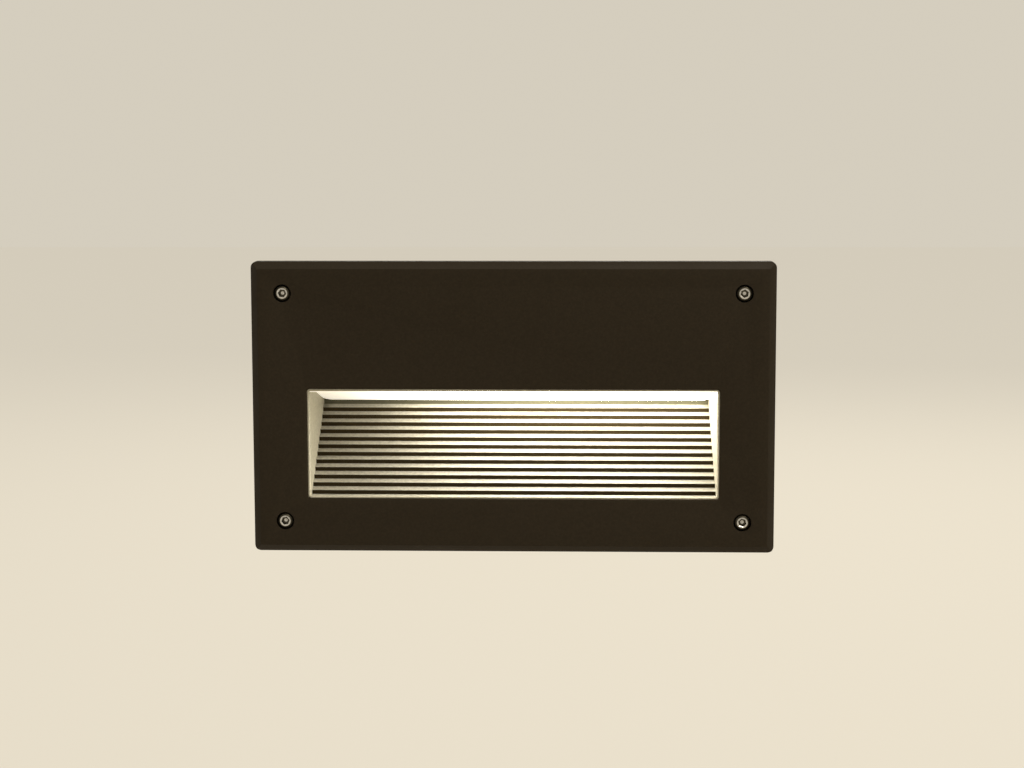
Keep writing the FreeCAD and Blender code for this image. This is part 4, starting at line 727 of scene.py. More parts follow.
class Pattern(Graph):
    """A geometry node tree with named inputs, which ends in plain, dressed geometry."""

    family = "GeometryNode"

    def __init__(self, name: str, **labels: str) -> None:
        """Starts the tree.

        Args:
            name: The tree's name.
            **labels: The names of the inputs of each kind, with underscores for the spaces in a name.
        """
        super().__init__(bpy.data.node_groups.new(name, "GeometryNodeTree"))
        face, self.sockets = self.tree.interface, {}
        for kind, row in {"Geometry": "Geometry", **labels}.items():
            for label in row.split():
                words = label.replace("_", " ")
                item = face.new_socket(words, in_out="INPUT", socket_type=f"NodeSocket{kind}")
                self.sockets[label] = item.identifier
        face.new_socket(name="Geometry", in_out="OUTPUT", socket_type="NodeSocketGeometry")
        self.given = self.add("NodeGroupInput").outputs

    def __getitem__(self, label: str) -> Socket:
        """The socket of a named input."""
        return self.given[label]

    def vector(self, x: object = 0.0, y: object = 0.0, z: object = 0.0) -> Socket:
        """A vector of three numbers or sockets."""
        return self.take("ShaderNodeCombineXYZ", X=x, Y=y, Z=z)

    def model(self, label: str) -> Socket:
        """The geometry of the object in a named input."""
        return self.take("ObjectInfo", "Geometry", Object=self[label], As_Instance=True)

    def swept(self, curve: Socket, sides: int, radius: Socket, caps: bool = False) -> Socket:
        """A curve as a bar.

        Args:
            curve: The curve along it.
            sides: How many sides the bar has.
            radius: The bar's radius.
            caps: Whether its ends are filled.

        Returns:
            The bar.
        """
        sizes = {"Resolution": sides, "Radius": radius}
        profile = self.take("CurvePrimitiveCircle", "Curve", {"mode": "RADIUS"}, **sizes)
        return self.take("CurveToMesh", Curve=curve, Profile_Curve=profile, Fill_Caps=caps)

    def close(self, geometry: Socket) -> None:
        """Ends the tree: instances become real and the finish is set."""
        real = self.take("RealizeInstances", Geometry=geometry)
        self.add("NodeGroupOutput", {0: self.take("SetMaterial", Geometry=real, Material=self["Finish"])})

    def grown(self, piece: Piece, **sizes: object) -> Piece:
        """Runs the tree on a piece and bakes what it makes.

        Args:
            piece: The object that the pattern grows on.
            **sizes: The value of each named input.

        Returns:
            The baked piece.
        """
        run = piece.modifiers.new(self.tree.name, "NODES")
        run.node_group = self.tree
        for label, size in sizes.items():
            run[self.sockets[label]] = size
        return baked(piece)


def screw_pattern() -> Pattern:
    """Sets one screw on every point, each turned at random about its own length.

    Returns:
        The tree.
    """
    tree = Pattern("screw_on_each_seat", Object="Screw", Vector="Facing", Int="Turn_Seed", Material="Finish")
    chance = tree.add("FunctionNodeRandomValue", {2: 0.0, 3: TURN, "Seed": tree["Turn Seed"]}).outputs[1]
    turn = tree.take("FunctionNodeAxisAngleToRotation", Axis=(0.0, 0.0, 1.0), Angle=chance)
    facing = tree.take("FunctionNodeEulerToRotation", Euler=tree["Facing"])
    local = {"rotation_space": "LOCAL"}
    pose = tree.take("FunctionNodeRotateRotation", 0, local, Rotation=facing, Rotate_By=turn)
    screw = tree.model("Screw")
    tree.close(tree.take("InstanceOnPoints", Points=tree["Geometry"], Instance=screw, Rotation=pose))
    return tree


def thread_pattern() -> Pattern:
    """Winds a ridge round Z from nought downwards.

    Returns:
        The tree.
    """
    tree = Pattern("thread_ridge", Float="Pitch Length Radius Depth", Material="Finish")
    turns = tree.maths("DIVIDE", tree["Length"], tree["Pitch"])
    root = tree.maths("SUBTRACT", tree["Radius"], tree["Depth"])
    sizes = {"Rotations": turns, "Start_Radius": root, "End_Radius": root, "Height": tree["Length"]}
    helix = tree.take("CurveSpiral", Resolution=20, **sizes)
    down = tree.vector(z=tree.maths("MULTIPLY", tree["Length"], -1.0))
    bar = tree.swept(helix, sides=4, radius=tree["Depth"], caps=True)
    ridge = tree.take("Transform", Geometry=bar, Translation=down)
    both = tree.add("JoinGeometry")
    for part in (tree["Geometry"], ridge):
        tree.feed(both.inputs[0], part)
    tree.close(both.outputs[0])
    return tree


def step_pattern() -> Pattern:
    """Repeats one step bar up the slope of the baffle, each bar shorter by the draft of the side walls.

    Returns:
        The tree.
    """
    sizes, finishes = "Going Rise Half_Width Drawn_In", "Tread_Finish Riser_Finish"
    tree = Pattern("stepped_baffle", Object="Bar", Int="Steps", Float=sizes, Material=finishes)
    pace = tree.vector(y=tree["Going"], z=tree["Rise"])
    feet = tree.take("MeshLine", Count=tree["Steps"], Offset=pace)
    narrower = tree.maths("MULTIPLY", tree["Drawn In"], tree.take("InputIndex"))
    half = tree.maths("SUBTRACT", tree["Half Width"], narrower)
    scale = tree.vector(tree.maths("DIVIDE", half, MM), 1.0, 1.0)
    placed = tree.take("InstanceOnPoints", Points=feet, Instance=tree.model("Bar"), Scale=scale)
    real = tree.take("RealizeInstances", Geometry=placed)
    treads = tree.take("SetMaterial", Geometry=real, Material=tree["Tread Finish"])
    front = tree.take("ShaderNodeSeparateXYZ", "Y", Vector=tree.take("InputNormal", "Normal"))
    # Painted shade: faces that look forward, the risers, take the dark riser material.
    steepest, test = -0.7, {"data_type": "FLOAT", "operation": "LESS_THAN"}
    upright = tree.add("FunctionNodeCompare", {0: front, 1: steepest}, **test).outputs[0]
    risers = tree.take("SetMaterial", Geometry=treads, Selection=upright, Material=tree["Riser Finish"])
    tree.add("NodeGroupOutput", {0: risers})
    return tree


def winding_pattern() -> Pattern:
    """Lays turns of wire on each other, each a flat loop with rounded corners.

    Returns:
        The tree.
    """
    tree = Pattern("laid_winding", Int="Turns", Float="Pitch Width Height Corner Wire", Material="Finish")
    sides = {"Width": tree["Width"], "Height": tree["Height"]}
    loop = tree.take("CurvePrimitiveQuadrilateral", "Curve", {"mode": "RECTANGLE"}, **sides)
    smooth = tree.take("FilletCurve", "Curve", {"mode": "POLY"}, Curve=loop, Radius=tree["Corner"], Count=5)
    turn = tree.swept(smooth, sides=6, radius=tree["Wire"])
    upright = tree.take("Transform", Geometry=turn, Rotation=(QUARTER, 0.0, 0.0))
    layers = tree.take("MeshLine", Count=tree["Turns"], Offset=tree.vector(y=tree["Pitch"]))
    tree.close(tree.take("InstanceOnPoints", Points=layers, Instance=upright))
    return tree


def flute_pattern() -> Pattern:
    """Sets ribs round a nut, their feet on a circle about Y.

    Returns:
        The tree.
    """
    tree = Pattern("nut_flutes", Object="Rib", Int="Ribs", Float="Radius", Material="Finish")
    feet = tree.take("MeshCircle", Vertices=tree["Ribs"], Radius=tree["Radius"])
    share = tree.maths("DIVIDE", tree.take("InputIndex"), tree["Ribs"])
    spin = tree.vector(z=tree.maths("MULTIPLY", share, TURN))
    placed = tree.take("InstanceOnPoints", Points=feet, Instance=tree.model("Rib"), Rotation=spin)
    tree.close(tree.take("Transform", Geometry=placed, Rotation=(-QUARTER, 0.0, 0.0)))
    return tree


# ---- screws


class Recess(Enum):
    """The drive in a screw's head: its outline, its reach and arm, and its crown, as shares of the head."""

    CROSS = (Cross, 0.62, 0.3, (0.7, 0.985))
    SLOT = (Slot, 0.86, 0.26, (0.945, 0.96))

    def __init__(self, form: type[Outline], reach: float, arm: float, crown: Pair) -> None:
        """Keeps the drive's form and sizes."""
        self.form, self.reach, self.arm, self.crown = form, reach, arm, crown

    def outline(self, head: float) -> Outline:
        """The drive's outline in a head of some radius."""
        return self.form(head * self.reach, head * self.arm)


class Facing(Enum):
    """Where a screw's head looks: the axis, whether along it, and the turn about X from upright."""

    FRONT = (1, False, QUARTER)
    BACK = (1, True, -QUARTER)
    UP = (2, True, 0.0)
    DOWN = (2, False, math.pi)


@dataclass(frozen=True)
class PlainScrew:
    """One plain CAD screw: its seat, whether its head looks along its axis, its radii and its lengths."""

    seat: Vector
    along: bool
    head: float
    shank: float
    tall: float
    length: float

    @classmethod
    def read(cls, places: list[Vector], axis: int = 1) -> "PlainScrew":
        """Measures one screw.

        Args:
            places: Its vertices.
            axis: The number of the axis that it lies along.

        Returns:
            Its sizes in metres.
        """
        low, high = ([pick(place[n] for place in places) for n in range(3)] for pick in (min, max))
        middle = [(low[n] + high[n]) / 2 for n in range(3)]
        reach = [math.hypot(*(place[n] - middle[n] for n in range(3) if n != axis)) for place in places]
        head, rim, near = max(reach), 0.98, 10 * TINY
        start, end = (
            max(r for r, place in zip(reach, places) if abs(place[axis] - side) < near)
            for side in (low[axis], high[axis])
        )
        along = end > start
        wide = [place[axis] for r, place in zip(reach, places) if r > head * rim]
        seat = list(middle)
        seat[axis] = min(wide) if along else max(wide)
        above, below = high[axis] - seat[axis], seat[axis] - low[axis]
        tall, length = (above, below) if along else (below, above)
        return cls(Vector(seat), along, head, min(start, end), tall, length)

    def order(self) -> Pair:
        """What a set of screws is sorted by: its place across, then up."""
        return self.seat.x, self.seat.z


# ---- sub-assemblies


@dataclass
class ScrewKit:
    """The form of the detailed screws that stand for sets of plain CAD ones.

    The tip is a share of the shank. The dome is in shares of the head's radius and height, and the well is in
    shares of the recess and the height.
    """

    tree: Pattern = field(default_factory=screw_pattern)
    seed: int = 3
    sides: int = 36
    edge: float = 0.12
    mouth: float = 0.6
    tip: Pair = (0.6, 0.5)
    dome: Profile = ((1.0, 0.45), (0.97, 0.72), (0.88, 0.9))
    well: Profile = ((0.86, 0.35), (0.25, 0.22))

    def form(self, drive: Recess, cad: PlainScrew) -> Form:
        """One screw, upright, with its seat at the origin.

        Args:
            drive: The recess in its head.
            cad: The sizes of the CAD screw.

        Returns:
            The form.
        """
        head, tall, shank, edge = cad.head, cad.tall, cad.shank, self.edge * MM
        slender, point = self.tip
        rings = circles(
            (shank * slender, -cad.length),
            (shank, shank * point - cad.length),
            (shank, 0.0),
            (head - edge, 0.0),
            (head, edge),
            *((head * wide, tall * level) for wide, level in (*self.dome, drive.crown)),
        )
        outline = drive.outline(head)
        rings.append(Ring(outline, tall, grown=edge * self.mouth))
        rings.append(Ring(outline, tall - edge * self.mouth))
        rings += [Ring(outline, tall * level, wide) for wide, level in self.well]
        return lathe(rings, self.sides)


@dataclass
class SubAssembly:
    """A group of pieces.

    The recipe lists CAD nodes. With a width a node's edges are rounded, and with a recess its screws are
    replaced. Alone it keeps its form.
    """

    nodes: dict[str, Piece]
    slots: dict[str, str]
    kit: ScrewKit
    recipe: Recipe = ()
    flatten: float = 0.6

    def finish_of(self, node: str) -> bpy.types.Material:
        """The material that the record gives a node."""
        return FINISHES[self.slots[node]].material()

    def put(self, piece: Piece, node: str, stands_for: bool = True) -> Piece:
        """Seats a finished piece on its node's body.

        Args:
            piece: The finished piece.
            node: The CAD node that it belongs to.
            stands_for: Whether it replaces the node or lies on it.

        Returns:
            The piece.
        """
        if not piece.data.materials or piece.data.materials[0] is None:
            piece.data.materials.clear()
            piece.data.materials.append(self.finish_of(node))
        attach(piece, self.nodes[node]["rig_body"])
        if stands_for:
            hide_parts(node)
        LOG.info("%s: %d faces, %s", piece.name, len(piece.data.polygons), self.slots[node])
        return piece

    def ease(self, name: str, width: float, segments: int = 2, angle: float = 35.0) -> Piece:
        """A copy of a node with its sharp edges rounded.

        Args:
            name: The node.
            width: The width of the rounding in millimetres.
            segments: How many faces round it.
            angle: Edges sharper than this many degrees are rounded.

        Returns:
            The piece that stands for the node.
        """
        piece = new_piece(f"{name}_eased", welded(self.nodes[name], self.flatten))
        rounding = piece.modifiers.new("rounded_edges", "BEVEL")
        rounding.width = width * MM
        rounding.segments = segments
        rounding.limit_method = "ANGLE"
        rounding.angle_limit = math.radians(angle)
        rounding.harden_normals = True
        return self.put(baked(piece), name)

    def grow(
        self, tree: Pattern, piece: Piece, node: str, place: Point = (0.0, 0.0, 0.0), sharp: float = 32.0,
        stands_for: bool = False, **sizes: object,
    ) -> None:
        """Grows a pattern on a piece and seats it.

        Args:
            tree: The pattern.
            piece: What it grows on.
            node: The node that it lies on.
            place: Where its own origin comes to stand, in metres.
            sharp: Edges over this many degrees stay sharp, unless it is 0.
            stands_for: Whether it replaces the node.
            **sizes: The pattern's inputs. An object among them is used up.
        """
        tree.grown(piece, **sizes)
        piece.data.transform(Matrix.Translation(place))
        soften(piece.data, sharp)
        for model in sizes.values():
            if isinstance(model, Piece):
                bpy.data.objects.remove(model)
        self.put(piece, node, stands_for)

    def fasten(self, node: str, drive: Recess, axis: int = 1) -> None:
        """Puts detailed screws where a node has plain ones.

        Args:
            node: The CAD node.
            drive: The recess in their heads.
            axis: The axis that they lie along.
        """
        screws = [PlainScrew.read(places, axis) for places in solids(self.nodes[node])]
        screws.sort(key=PlainScrew.order)
        turn = next(facing.value[2] for facing in Facing if facing.value[:2] == (axis, screws[0].along))
        piece = new_piece(f"{node}_detailed")
        piece.data.from_pydata([screw.seat for screw in screws], [], [])
        sizes = {"Facing": (turn, 0.0, 0.0), "Turn_Seed": self.kit.seed, "Finish": self.finish_of(node)}
        sizes["Screw"] = new_piece(f"{node}_form", self.kit.form(drive, screws[0]))
        self.grow(self.kit.tree, piece, node, stands_for=True, **sizes)

    def build(self) -> None:
        """Makes what the recipe lists."""
        for name, *sizes in self.recipe:
            if not sizes:
                self.nodes[name].data.materials.clear()
                self.nodes[name].data.materials.append(self.finish_of(name))
                LOG.info("%s keeps its CAD form, in %s", name, self.slots[name])
            elif isinstance(sizes[0], Recess):
                self.fasten(name, *sizes)
            else:
                self.ease(name, *sizes)


@dataclass
class Faceplate(SubAssembly):
    """The bevelled face with its gasket."""

    recipe: Recipe = (("faceplate", 0.3, 3, 20.0), ("face_gasket", 0.3))


@dataclass
class CornerScrews(SubAssembly):
    """The four bright screws that hold the face, each with its thread and its sealing washer.

    The dome's pairs are how far it lies inside the head's rim and the share of the head's height.
    """

    thread: Pattern = field(default_factory=thread_pattern)
    turns: tuple[float, ...] = (24.0, 51.0, 13.0, 38.0)
    sides: int = 60
    pitch: float = 0.7
    ridge: float = 0.28
    sunk_ridge: float = 0.7
    plain: float = 2.2
    run_out: float = 0.2
    bare_tip: float = 0.4
    tip: Pair = (0.7, 0.5)
    edge: float = 0.15
    dome: Profile = ((0.0, 0.52), (0.1, 0.72), (0.76, 0.9), (1.14, 0.98))
    socket_across: float = 3.2
    socket_depth: float = 2.2
    socket_mouth: Pair = (0.16, 0.14)
    drill: float = 0.75
    drill_start: float = 0.02
    drill_point: Pair = (0.08, 0.35)
    # Where the painted shade lies: shares of the drill and of the socket's width, a band of depth, and the
    # shoulder.
    shade_inner: float = 0.8
    shade_outer: float = 0.58
    shade_sunk: Pair = (0.1, 0.3)
    shoulder: float = 0.95
    slack: float = 1.05
    washer_sides: int = 48
    washer_ease: float = 0.28

    def screw_form(self, cad: PlainScrew) -> Form:
        """The turned screw: domed head, hexagon socket with a drill point, and a shank under its thread.

        Args:
            cad: The sizes of the CAD screw.

        Returns:
            The form, upright, with its seat at the origin.
        """
        head, tall, edge = cad.head, cad.tall, self.edge * MM
        root = cad.shank - self.ridge * MM * self.sunk_ridge
        slender, point = self.tip
        rings = circles(
            (root * slender, -cad.length),
            (root, point * MM - cad.length),
            (root, -self.plain * MM),
            (cad.shank, (self.run_out - self.plain) * MM),
            (cad.shank, 0.0),
            (head - edge, 0.0),
            (head, edge),
            *((head - inset * MM, tall * level) for inset, level in self.dome),
        )
        socket = Hexagon(self.socket_across / 2 * MM)
        wider, chamfer = self.socket_mouth
        rings.append(Ring(socket, tall, grown=wider * MM))
        rings += [Ring(socket, tall - deep * MM) for deep in (chamfer, self.socket_depth)]
        floor = tall - self.socket_depth * MM
        fine, deep = self.drill_point
        rings += circles((self.drill * MM, floor - self.drill_start * MM), (fine * MM, floor - deep * MM))
        return lathe(rings, self.sides)

    def darken(self, mesh: Mesh, head: float, top: float) -> None:
        """Paints shade on the socket's walls, the rim of its floor and the head's shoulder with a dark copy
        of the stainless.

        Args:
            mesh: The screw, upright.
            head: The radius of its head.
            top: The level of the top of its head.
        """
        mesh.materials.append(PAINTED_SHADE_SOCKET.material())
        shade_slot = len(mesh.materials) - 1
        near, far = self.drill * self.shade_inner, self.socket_across * self.shade_outer
        above, below = self.shade_sunk
        for face in mesh.polygons:
            away = math.hypot(face.center.x, face.center.y) / MM
            sunk = (top - face.center.z) / MM
            inside = near < away < far and above < sunk < self.socket_depth + below
            outside = away > head / MM - self.shoulder * self.slack and sunk < self.shoulder
            # Painted shade: the socket's walls and the head's shoulder take the dark copy of the stainless.
            if inside or outside:
                face.material_index = shade_slot

    def build(self) -> None:
        """Makes the four screws and washers."""
        lift = Matrix.Translation((0.0, 0.0, self.plain * MM))
        bare = (self.plain + self.bare_tip) * MM
        for number, turn in enumerate(self.turns, 1):
            node = f"face_screw_{number}"
            (places,) = solids(self.nodes[node])
            cad = PlainScrew.read(places)
            piece = new_piece(f"{node}_turned", self.screw_form(cad))
            piece.data.transform(lift)
            sizes = {"Pitch": self.pitch * MM, "Length": cad.length - bare, "Radius": cad.shank}
            self.thread.grown(piece, **sizes, Depth=self.ridge * MM, Finish=STAINLESS.material())
            self.darken(piece.data, cad.head, cad.tall + self.plain * MM)
            spin = Matrix.Rotation(math.radians(turn), 4, "Z")
            piece.data.transform(Matrix.Translation(cad.seat) @ UPRIGHT @ spin @ lift.inverted())
            soften(piece.data)
            self.put(piece, node)
            self.washer(number, cad.seat)

    def washer(self, number: int, seat: Vector) -> None:
        """Makes the moulded washer under one screw's head, with a rounded rim.

        Args:
            number: The screw's number.
            seat: The place of the screw's seat.
        """
        node = f"screw_seal_{number}"
        low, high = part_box(node)
        outer, thick = (high.x - low.x) / 2, high.y - low.y
        inner = min(math.hypot(v.co.x - seat.x, v.co.z - seat.z) for v in self.nodes[node].data.vertices)
        ease = thick * self.washer_ease
        half = ((inner, ease), (inner, thick - ease), (inner + ease, thick), (outer - ease, thick))
        rest = ((outer, thick - ease), (outer, ease), (outer - ease, 0.0), (inner + ease, 0.0))
        piece = new_piece(f"{node}_moulded", lathe(circles(*half, *rest), self.washer_sides, ends=False))
        piece.data.transform(Matrix.Translation((seat.x, high.y, seat.z)) @ UPRIGHT)
        soften(piece.data)
        self.put(piece, node)


@dataclass
class Scoop(SubAssembly):
    """The cast scoop with its stepped baffle, its lens and what holds them."""

    recipe: Recipe = (
        ("lens", 0.4, 3), ("lens_clips", 0.12), ("scoop_gasket", 0.2), ("lens_gasket",),
        ("scoop_screws", Recess.CROSS), ("lens_clip_screws", Recess.CROSS, 2),
    )
    edge: float = 0.2
    steps: int = 12
    going: float = 2.82
    rise: float = 3.045
    riser: float = 1.8
    front: float = -3.0
    sill: float = -39.85
    mouth: float = -7.4
    half_mouth: float = 91.15
    draft: float = 3.0
    proud: float = 0.05
    foot: float = 0.1
    nose: float = 0.14
    nose_faces: int = 4
    sink: float = 0.25
    bite: float = 0.2
    back: float = 30.84
    # Where tone() lays painted shade on the back wall, and painted light on the side walls and the rim.
    back_band: Pair = (-0.3, 2.6)
    back_slack: float = 0.5
    faces_front: float = -0.8
    faces_side: float = 0.9
    rim: float = 1.0
    roof: float = 7.45
    bend: float = 2.5
    fall: float = 0.2946
    lip_front: float = -6.7
    lip_thick: float = 0.45
    lip_air: float = 0.05
    lip_corner: Pair = (5.5, 10.0)
    lip_corner_faces: int = 8
    lip_rows: Profile = ((0.0, -0.1), (0.0, 0.45), (0.1, 0.75), (0.3, 0.95), (0.8, 1.0))

    def half_width(self, depth: float) -> float:
        """Half the width between the drafted side walls at some depth."""
        return self.half_mouth - (depth - self.mouth) * math.tan(math.radians(self.draft))

    def bar(self) -> Piece:
        """One step as a closed bar with a rounded nose, one millimetre to each side of the middle.

        Returns:
            The bar, with the foot of its riser at the origin.
        """
        slope = math.atan2(self.rise - self.riser, self.going)
        turn = QUARTER - slope
        y, z = self.nose - self.proud, self.riser - self.nose * math.tan(turn / 2)
        points = [(-self.proud, -self.foot)]
        for part in range(self.nose_faces + 1):
            angle = math.pi - turn * part / self.nose_faces
            points.append((y + self.nose * math.cos(angle), z + self.nose * math.sin(angle)))
        points.append((self.going, self.rise + self.proud / math.cos(slope)))
        points += [(self.going, self.rise - self.sink), (self.sink, -self.sink)]
        return new_piece("step_bar", lofted([[(x, y * MM, z * MM) for y, z in points] for x in (-MM, MM)]))

    def build_steps(self) -> None:
        """Repeats the step bar up the baffle."""
        self.grow(
            step_pattern(), new_piece("baffle_steps"), "scoop", (0.0, self.front * MM, self.sill * MM), 40.0,
            Bar=self.bar(),
            Steps=self.steps,
            Going=self.going * MM,
            Rise=self.rise * MM,
            Half_Width=(self.half_width(self.front) + self.bite) * MM,
            Drawn_In=self.going * math.tan(math.radians(self.draft)) * MM,
            Tread_Finish=SILVER.material(),
            # Painted shade: the risers get the dark copy of the cast silver.
            Riser_Finish=PAINTED_SHADE_RISER.material(),
        )

    def tone(self, piece: Piece) -> None:
        """Paints shade on the wall behind the top step, and paints light on the rim and the drafted side
        walls.

        Args:
            piece: The scoop.
        """
        for finish in (PAINTED_SHADE_BACK_WALL, PAINTED_LIGHT_SILVER):
            piece.data.materials.append(finish.material())
        low, high = (self.sill + self.steps * self.rise + side for side in self.back_band)
        for face in piece.data.polygons:
            spot, normal = face.center / MM, face.normal
            behind = abs(spot.y - self.back) < self.back_slack
            inward = abs(normal.x) > self.faces_side and spot.x * normal.x < 0
            if behind and low < spot.z < high and normal.y < self.faces_front:
                # Painted shade: the back wall takes the darker copy of the cast silver.
                face.material_index = 1
            elif inward or spot.y < self.mouth + self.rim:
                # Painted light: the rim and the inward side walls take the lighter copy of the cast silver.
                face.material_index = 2

    def lip(self) -> Piece:
        """The lens's lower lip, which covers the roof from wall to wall, with round corners at the back.

        Returns:
            The lip, in its place.
        """
        front, back = self.lip_front, self.back - self.lip_air
        across, deep = self.lip_corner
        outline = [(self.half_width(y) - self.lip_air, y) for y in (front, self.bend)]
        reach = self.half_width(back - deep) - self.lip_air - across
        for part in range(self.lip_corner_faces + 1):
            angle = QUARTER * part / self.lip_corner_faces
            outline.append((reach + across * math.cos(angle), back - deep + deep * math.sin(angle)))
        outline += [(-x, y) for x, y in reversed(outline)]
        rows = []
        for inset, share in self.lip_rows:
            row = []
            for x, y in outline:
                inner_y = min(max(y, front + inset), back - inset)
                inner_x = math.copysign(min(abs(x), self.half_width(y) - self.lip_air - inset), x)
                roof = self.roof - max(inner_y - self.bend, 0.0) * self.fall
                row.append((inner_x * MM, inner_y * MM, (roof - share * self.lip_thick) * MM))
            rows.append(row)
        form = lofted(rows)
        bmesh.ops.remove_doubles(form, verts=form.verts, dist=TINY)
        bmesh.ops.connect_verts_concave(form, faces=form.faces)
        bmesh.ops.recalc_face_normals(form, faces=form.faces)
        piece = new_piece("lens_lip", form, smooth=False)
        piece.data.materials.append(LIP.material())
        return piece

    def build(self) -> None:
        """Makes the scoop, its steps, the lens and its fixings."""
        self.tone(self.ease("scoop", self.edge))
        self.build_steps()
        self.put(self.lip(), "lens", stands_for=False)
        super().build()


@dataclass
class BackBox(SubAssembly):
    """The cast box in the wall, with the gear tray and its screws."""

    recipe: Recipe = (
        ("back_box", 0.5, 3), ("gear_tray", 0.2), ("tray_screws", Recess.CROSS), ("wire_grommet", 0.5, 3),
    )


@dataclass
class LampGear(SubAssembly):
    """The lamp with its holder, cradle and reflector."""

    recipe: Recipe = (
        ("lamp_tube", 0.15), ("lamp_base", 0.6, 3), ("lamp_pins", 0.25), ("lampholder", 0.5, 3),
        ("lampholder_contacts",), ("lamp_cradle", 0.3), ("lamp_reflector", 0.12),
        ("reflector_screws", Recess.CROSS), ("lampholder_screws", Recess.CROSS),
        ("cradle_screw", Recess.CROSS),
    )


@dataclass
class Ballast(SubAssembly):
    """The iron ballast on the back of the tray."""

    recipe: Recipe = (
        ("ballast_core", 0.25), ("ballast_coil", 0.8, 3), ("ballast_bracket", 0.15),
        ("ballast_terminals", 0.3), ("ballast_screws", Recess.CROSS),
    )
    pitch: float = 0.62
    wire: float = 0.33
    corner: float = 3.0
    bare_ends: float = 3.0

    def build(self) -> None:
        """Makes what the recipe lists, and lays the turns of wire that show at both ends of the core."""
        super().build()
        low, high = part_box("ballast_coil")
        size, middle = high - low, (low + high) / 2
        turns = int((size.y - self.bare_ends * MM) / (self.pitch * MM))
        start = middle.y - self.pitch * MM * (turns - 1) / 2
        self.grow(
            winding_pattern(), new_piece("ballast_winding"), "ballast_coil", (middle.x, start, middle.z), 0.0,
            Turns=turns,
            Pitch=self.pitch * MM,
            Width=size.x - self.wire * MM,
            Height=size.z - self.wire * MM,
            Corner=self.corner * MM,
            Wire=self.wire * MM,
            Finish=RESIN.material(),
        )


@dataclass
class Wiring(SubAssembly):
    """The terminal block, the earth stud and the short wires between them."""

    recipe: Recipe = (
        ("terminal_block", 0.25), ("terminal_screws", Recess.SLOT), ("terminal_block_screws", Recess.CROSS),
        ("earth_stud", 0.15), ("earth_lug", 0.1), ("earth_nut", 0.25),
        ("live_wire",), ("neutral_wire",), ("lamp_wire",), ("earth_wire",),
    )


@dataclass
class CableEntries(SubAssembly):
    """The gland for the supply cable, with its fluted nut, and the plug in the spare entry.

    The ends pair each share of a rib's length with the rib's size there.
    """

    recipe: Recipe = (
        ("gland_body", 0.3), ("gland_nut", 0.5, 3), ("gland_insert", 0.3, 3), ("gland_locknut", 0.3),
        ("blanking_plug", 0.4, 3), ("gland_oring",), ("plug_oring",),
    )
    ribs: int = 24
    rib_faces: int = 6
    rib_half: float = 0.55
    rib_proud: float = 0.45
    rib_root: float = 0.25
    rib_long: float = 7.0
    rib_start: float = 0.8
    rib_sunk: float = 0.1
    ends: Profile = ((0.0, 0.35), (0.08, 1.0), (0.8, 1.0), (1.0, 0.25))

    def rib(self) -> Piece:
        """One flute of the dome nut, lying along Z with its foot on the X axis.

        Returns:
            The rib, not yet part of the object.
        """
        rows = []
        for share, size in self.ends:
            row = []
            for part in range(self.rib_faces + 1):
                angle = math.pi * (part / self.rib_faces - 0.5)
                root = self.rib_root if part in (0, self.rib_faces) else 0.0
                proud = self.rib_proud * math.cos(angle) * size - root
                row.append((proud * MM, self.rib_half * math.sin(angle) * MM, share * self.rib_long * MM))
            rows.append(row)
        return new_piece("nut_rib", lofted(rows))

    def build(self) -> None:
        """Makes what the recipe lists, and sets the flutes round the dome nut."""
        super().build()
        low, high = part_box("gland_nut")
        place = ((low.x + high.x) / 2, low.y + self.rib_start * MM, (low.z + high.z) / 2)
        radius = (high.x - low.x) / 2 - self.rib_sunk * MM
        self.grow(
            flute_pattern(), new_piece("gland_nut_flutes"), "gland_nut", place, 50.0,
            Rib=self.rib(), Ribs=self.ribs, Radius=radius, Finish=BLACK.material(),
        )


# ---- studio


@dataclass(frozen=True)
class SoftLamp:
    """A soft lamp: its place, its width and height, its power in watts, its colour and what it looks at."""

    name: str
    place: Point
    size: Pair
    power: float
    tint: Colour = (1.0, 0.93, 0.80)
    aim: Point = (0.0, 0.0, 0.0)

    def hang(self) -> None:
        """Puts the lamp in the scene."""
        data = bpy.data.lights.new(self.name, "AREA")
        data.shape = "RECTANGLE"
        data.size, data.size_y = self.size
        data.energy = self.power
        data.color = self.tint
        light = linked(self.name, data)
        light.location = self.place
        look = Vector(self.aim) - Vector(self.place)
        light.rotation_euler = look.to_track_quat("-Z", "Y").to_euler()


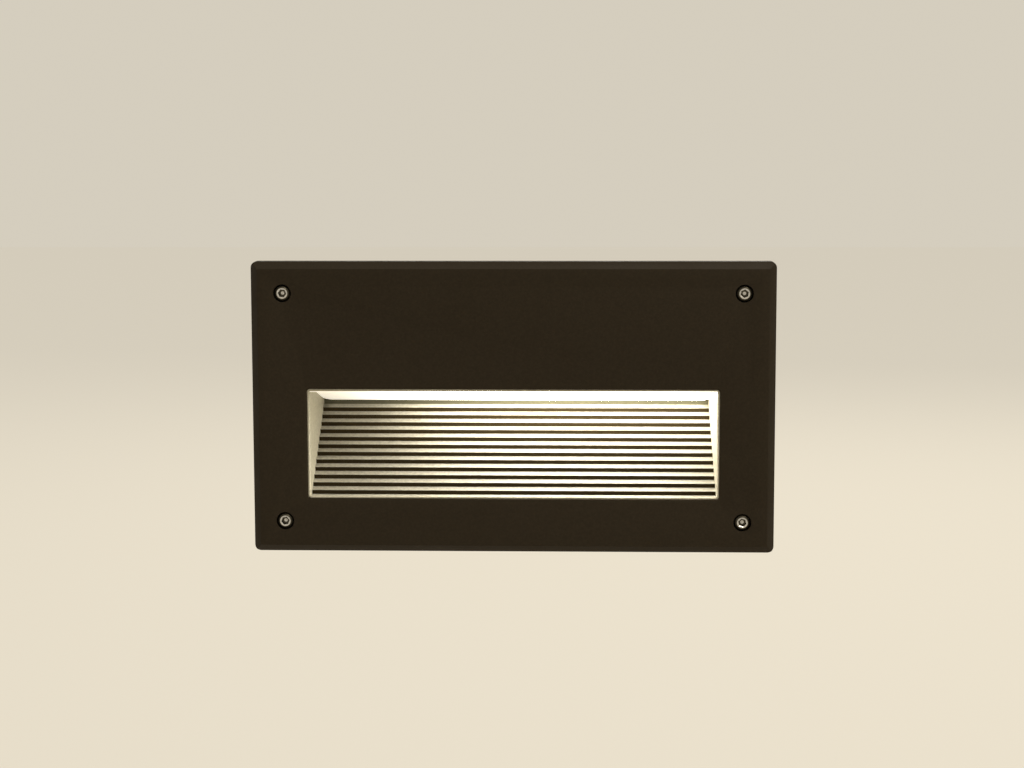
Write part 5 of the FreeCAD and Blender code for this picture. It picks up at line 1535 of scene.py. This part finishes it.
@dataclass
class Studio:
    """The floor, the light and the camera. The focal length and the width are the photograph's, in pixels."""

    lamps: tuple[SoftLamp, ...] = (
        SoftLamp("upper_right", (1.0, -0.75, 2.0), (1.2, 0.9), 40.0),
        SoftLamp("left_fill", (-1.5, -1.4, 0.5), (1.2, 1.2), 1.5),
        SoftLamp("back_fill", (0.3, 1.8, 1.2), (1.4, 1.0), 22.0, (1.0, 0.95, 0.86), (0.0, 0.05, 0.0)),
    )
    floor_level: float = -0.30
    floor_half: float = 6.0
    even: float = 0.72
    room: float = 0.42
    backdrop: float = 0.83
    pale: Colour = (0.80, 0.74, 0.62)
    eye: Point = (0.0357, -0.9801, 0.1322)
    turns: Point = (2.12, -7.1, 0.13)
    focal_pixels: float = 2200.0
    width_pixels: float = 1024.0
    sensor: float = 36.0
    near: float = 0.01

    def seen(self, graph: Graph) -> Socket:
        """Adds a value that is 1 where the camera, a mirror or a glass sees the background, and else 0.

        Args:
            graph: The tree to add it to.

        Returns:
            The value.
        """
        rays = graph.add("LightPath").outputs
        first = graph.maths("MAXIMUM", rays["Is Camera Ray"], rays["Is Glossy Ray"])
        return graph.maths("MAXIMUM", first, rays["Is Transmission Ray"])

    def floor(self) -> None:
        """Lays the plain pale floor."""
        side, ground = self.floor_half, new_piece("floor")
        corners = [(-side, -side), (side, -side), (side, side), (-side, side)]
        ground.data.from_pydata([(x, y, self.floor_level) for x, y in corners], [], [(0, 1, 2, 3)])
        shading = Shading("pale_floor")
        shading.set(Base_Color=self.pale, Roughness=0.9, Specular_IOR_Level=0.1)
        glow = shading.take("Emission", Color=self.pale, Strength=1.0)
        share = shading.maths("MULTIPLY", self.seen(shading), self.even)
        blend = shading.add("MixShader", {0: share, 1: shading.surface.outputs[0], 2: glow})
        shading.feed(shading.tree.nodes["Material Output"].inputs["Surface"], blend.outputs[0])
        ground.data.materials.append(shading.material)

    def world(self) -> None:
        """Fills the room with even light, and shows it pale to the camera, glass and metal."""
        world = bpy.data.worlds.new("room")
        world.use_nodes = True
        graph = Graph(world.node_tree)
        background = world.node_tree.nodes["Background"]
        strength = graph.remap(self.seen(graph), (0.0, 1.0), (self.room, self.backdrop))
        graph.feed(background.inputs["Strength"], strength)
        graph.feed(background.inputs["Color"], self.pale)
        bpy.context.scene.world = world

    def camera(self) -> None:
        """Stands the camera where the photograph was taken from."""
        data = bpy.data.cameras.new("photograph")
        data.sensor_width = self.sensor
        data.lens = self.focal_pixels / self.width_pixels * self.sensor
        data.clip_start = self.near
        camera = linked("photograph", data)
        pose = Matrix.Translation(self.eye)
        for angle, axis in zip((*self.turns, 90.0), "ZXYX"):
            pose = pose @ Matrix.Rotation(math.radians(angle), 4, axis)
        camera.matrix_world = pose
        bpy.context.scene.camera = camera

    def build(self) -> None:
        """Sets up the whole studio."""
        bpy.context.scene.view_settings.view_transform = "Standard"
        self.floor()
        self.world()
        for lamp in self.lamps:
            lamp.hang()
        self.camera()


def main() -> None:
    """Builds the dressed step light, its sub-assemblies in order."""
    logging.basicConfig(level=logging.INFO, format="%(name)s: %(message)s")
    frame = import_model()
    nodes = frame["nodes"]
    slots = {part["node"]: part["material_slot"] for part in frame["record"]["subparts"]}
    kit = ScrewKit()
    for part in (Faceplate, CornerScrews, Scoop, BackBox, LampGear, Ballast, Wiring, CableEntries):
        part(nodes, slots, kit).build()
    Studio().build()


if __name__ == "__main__":
    main()
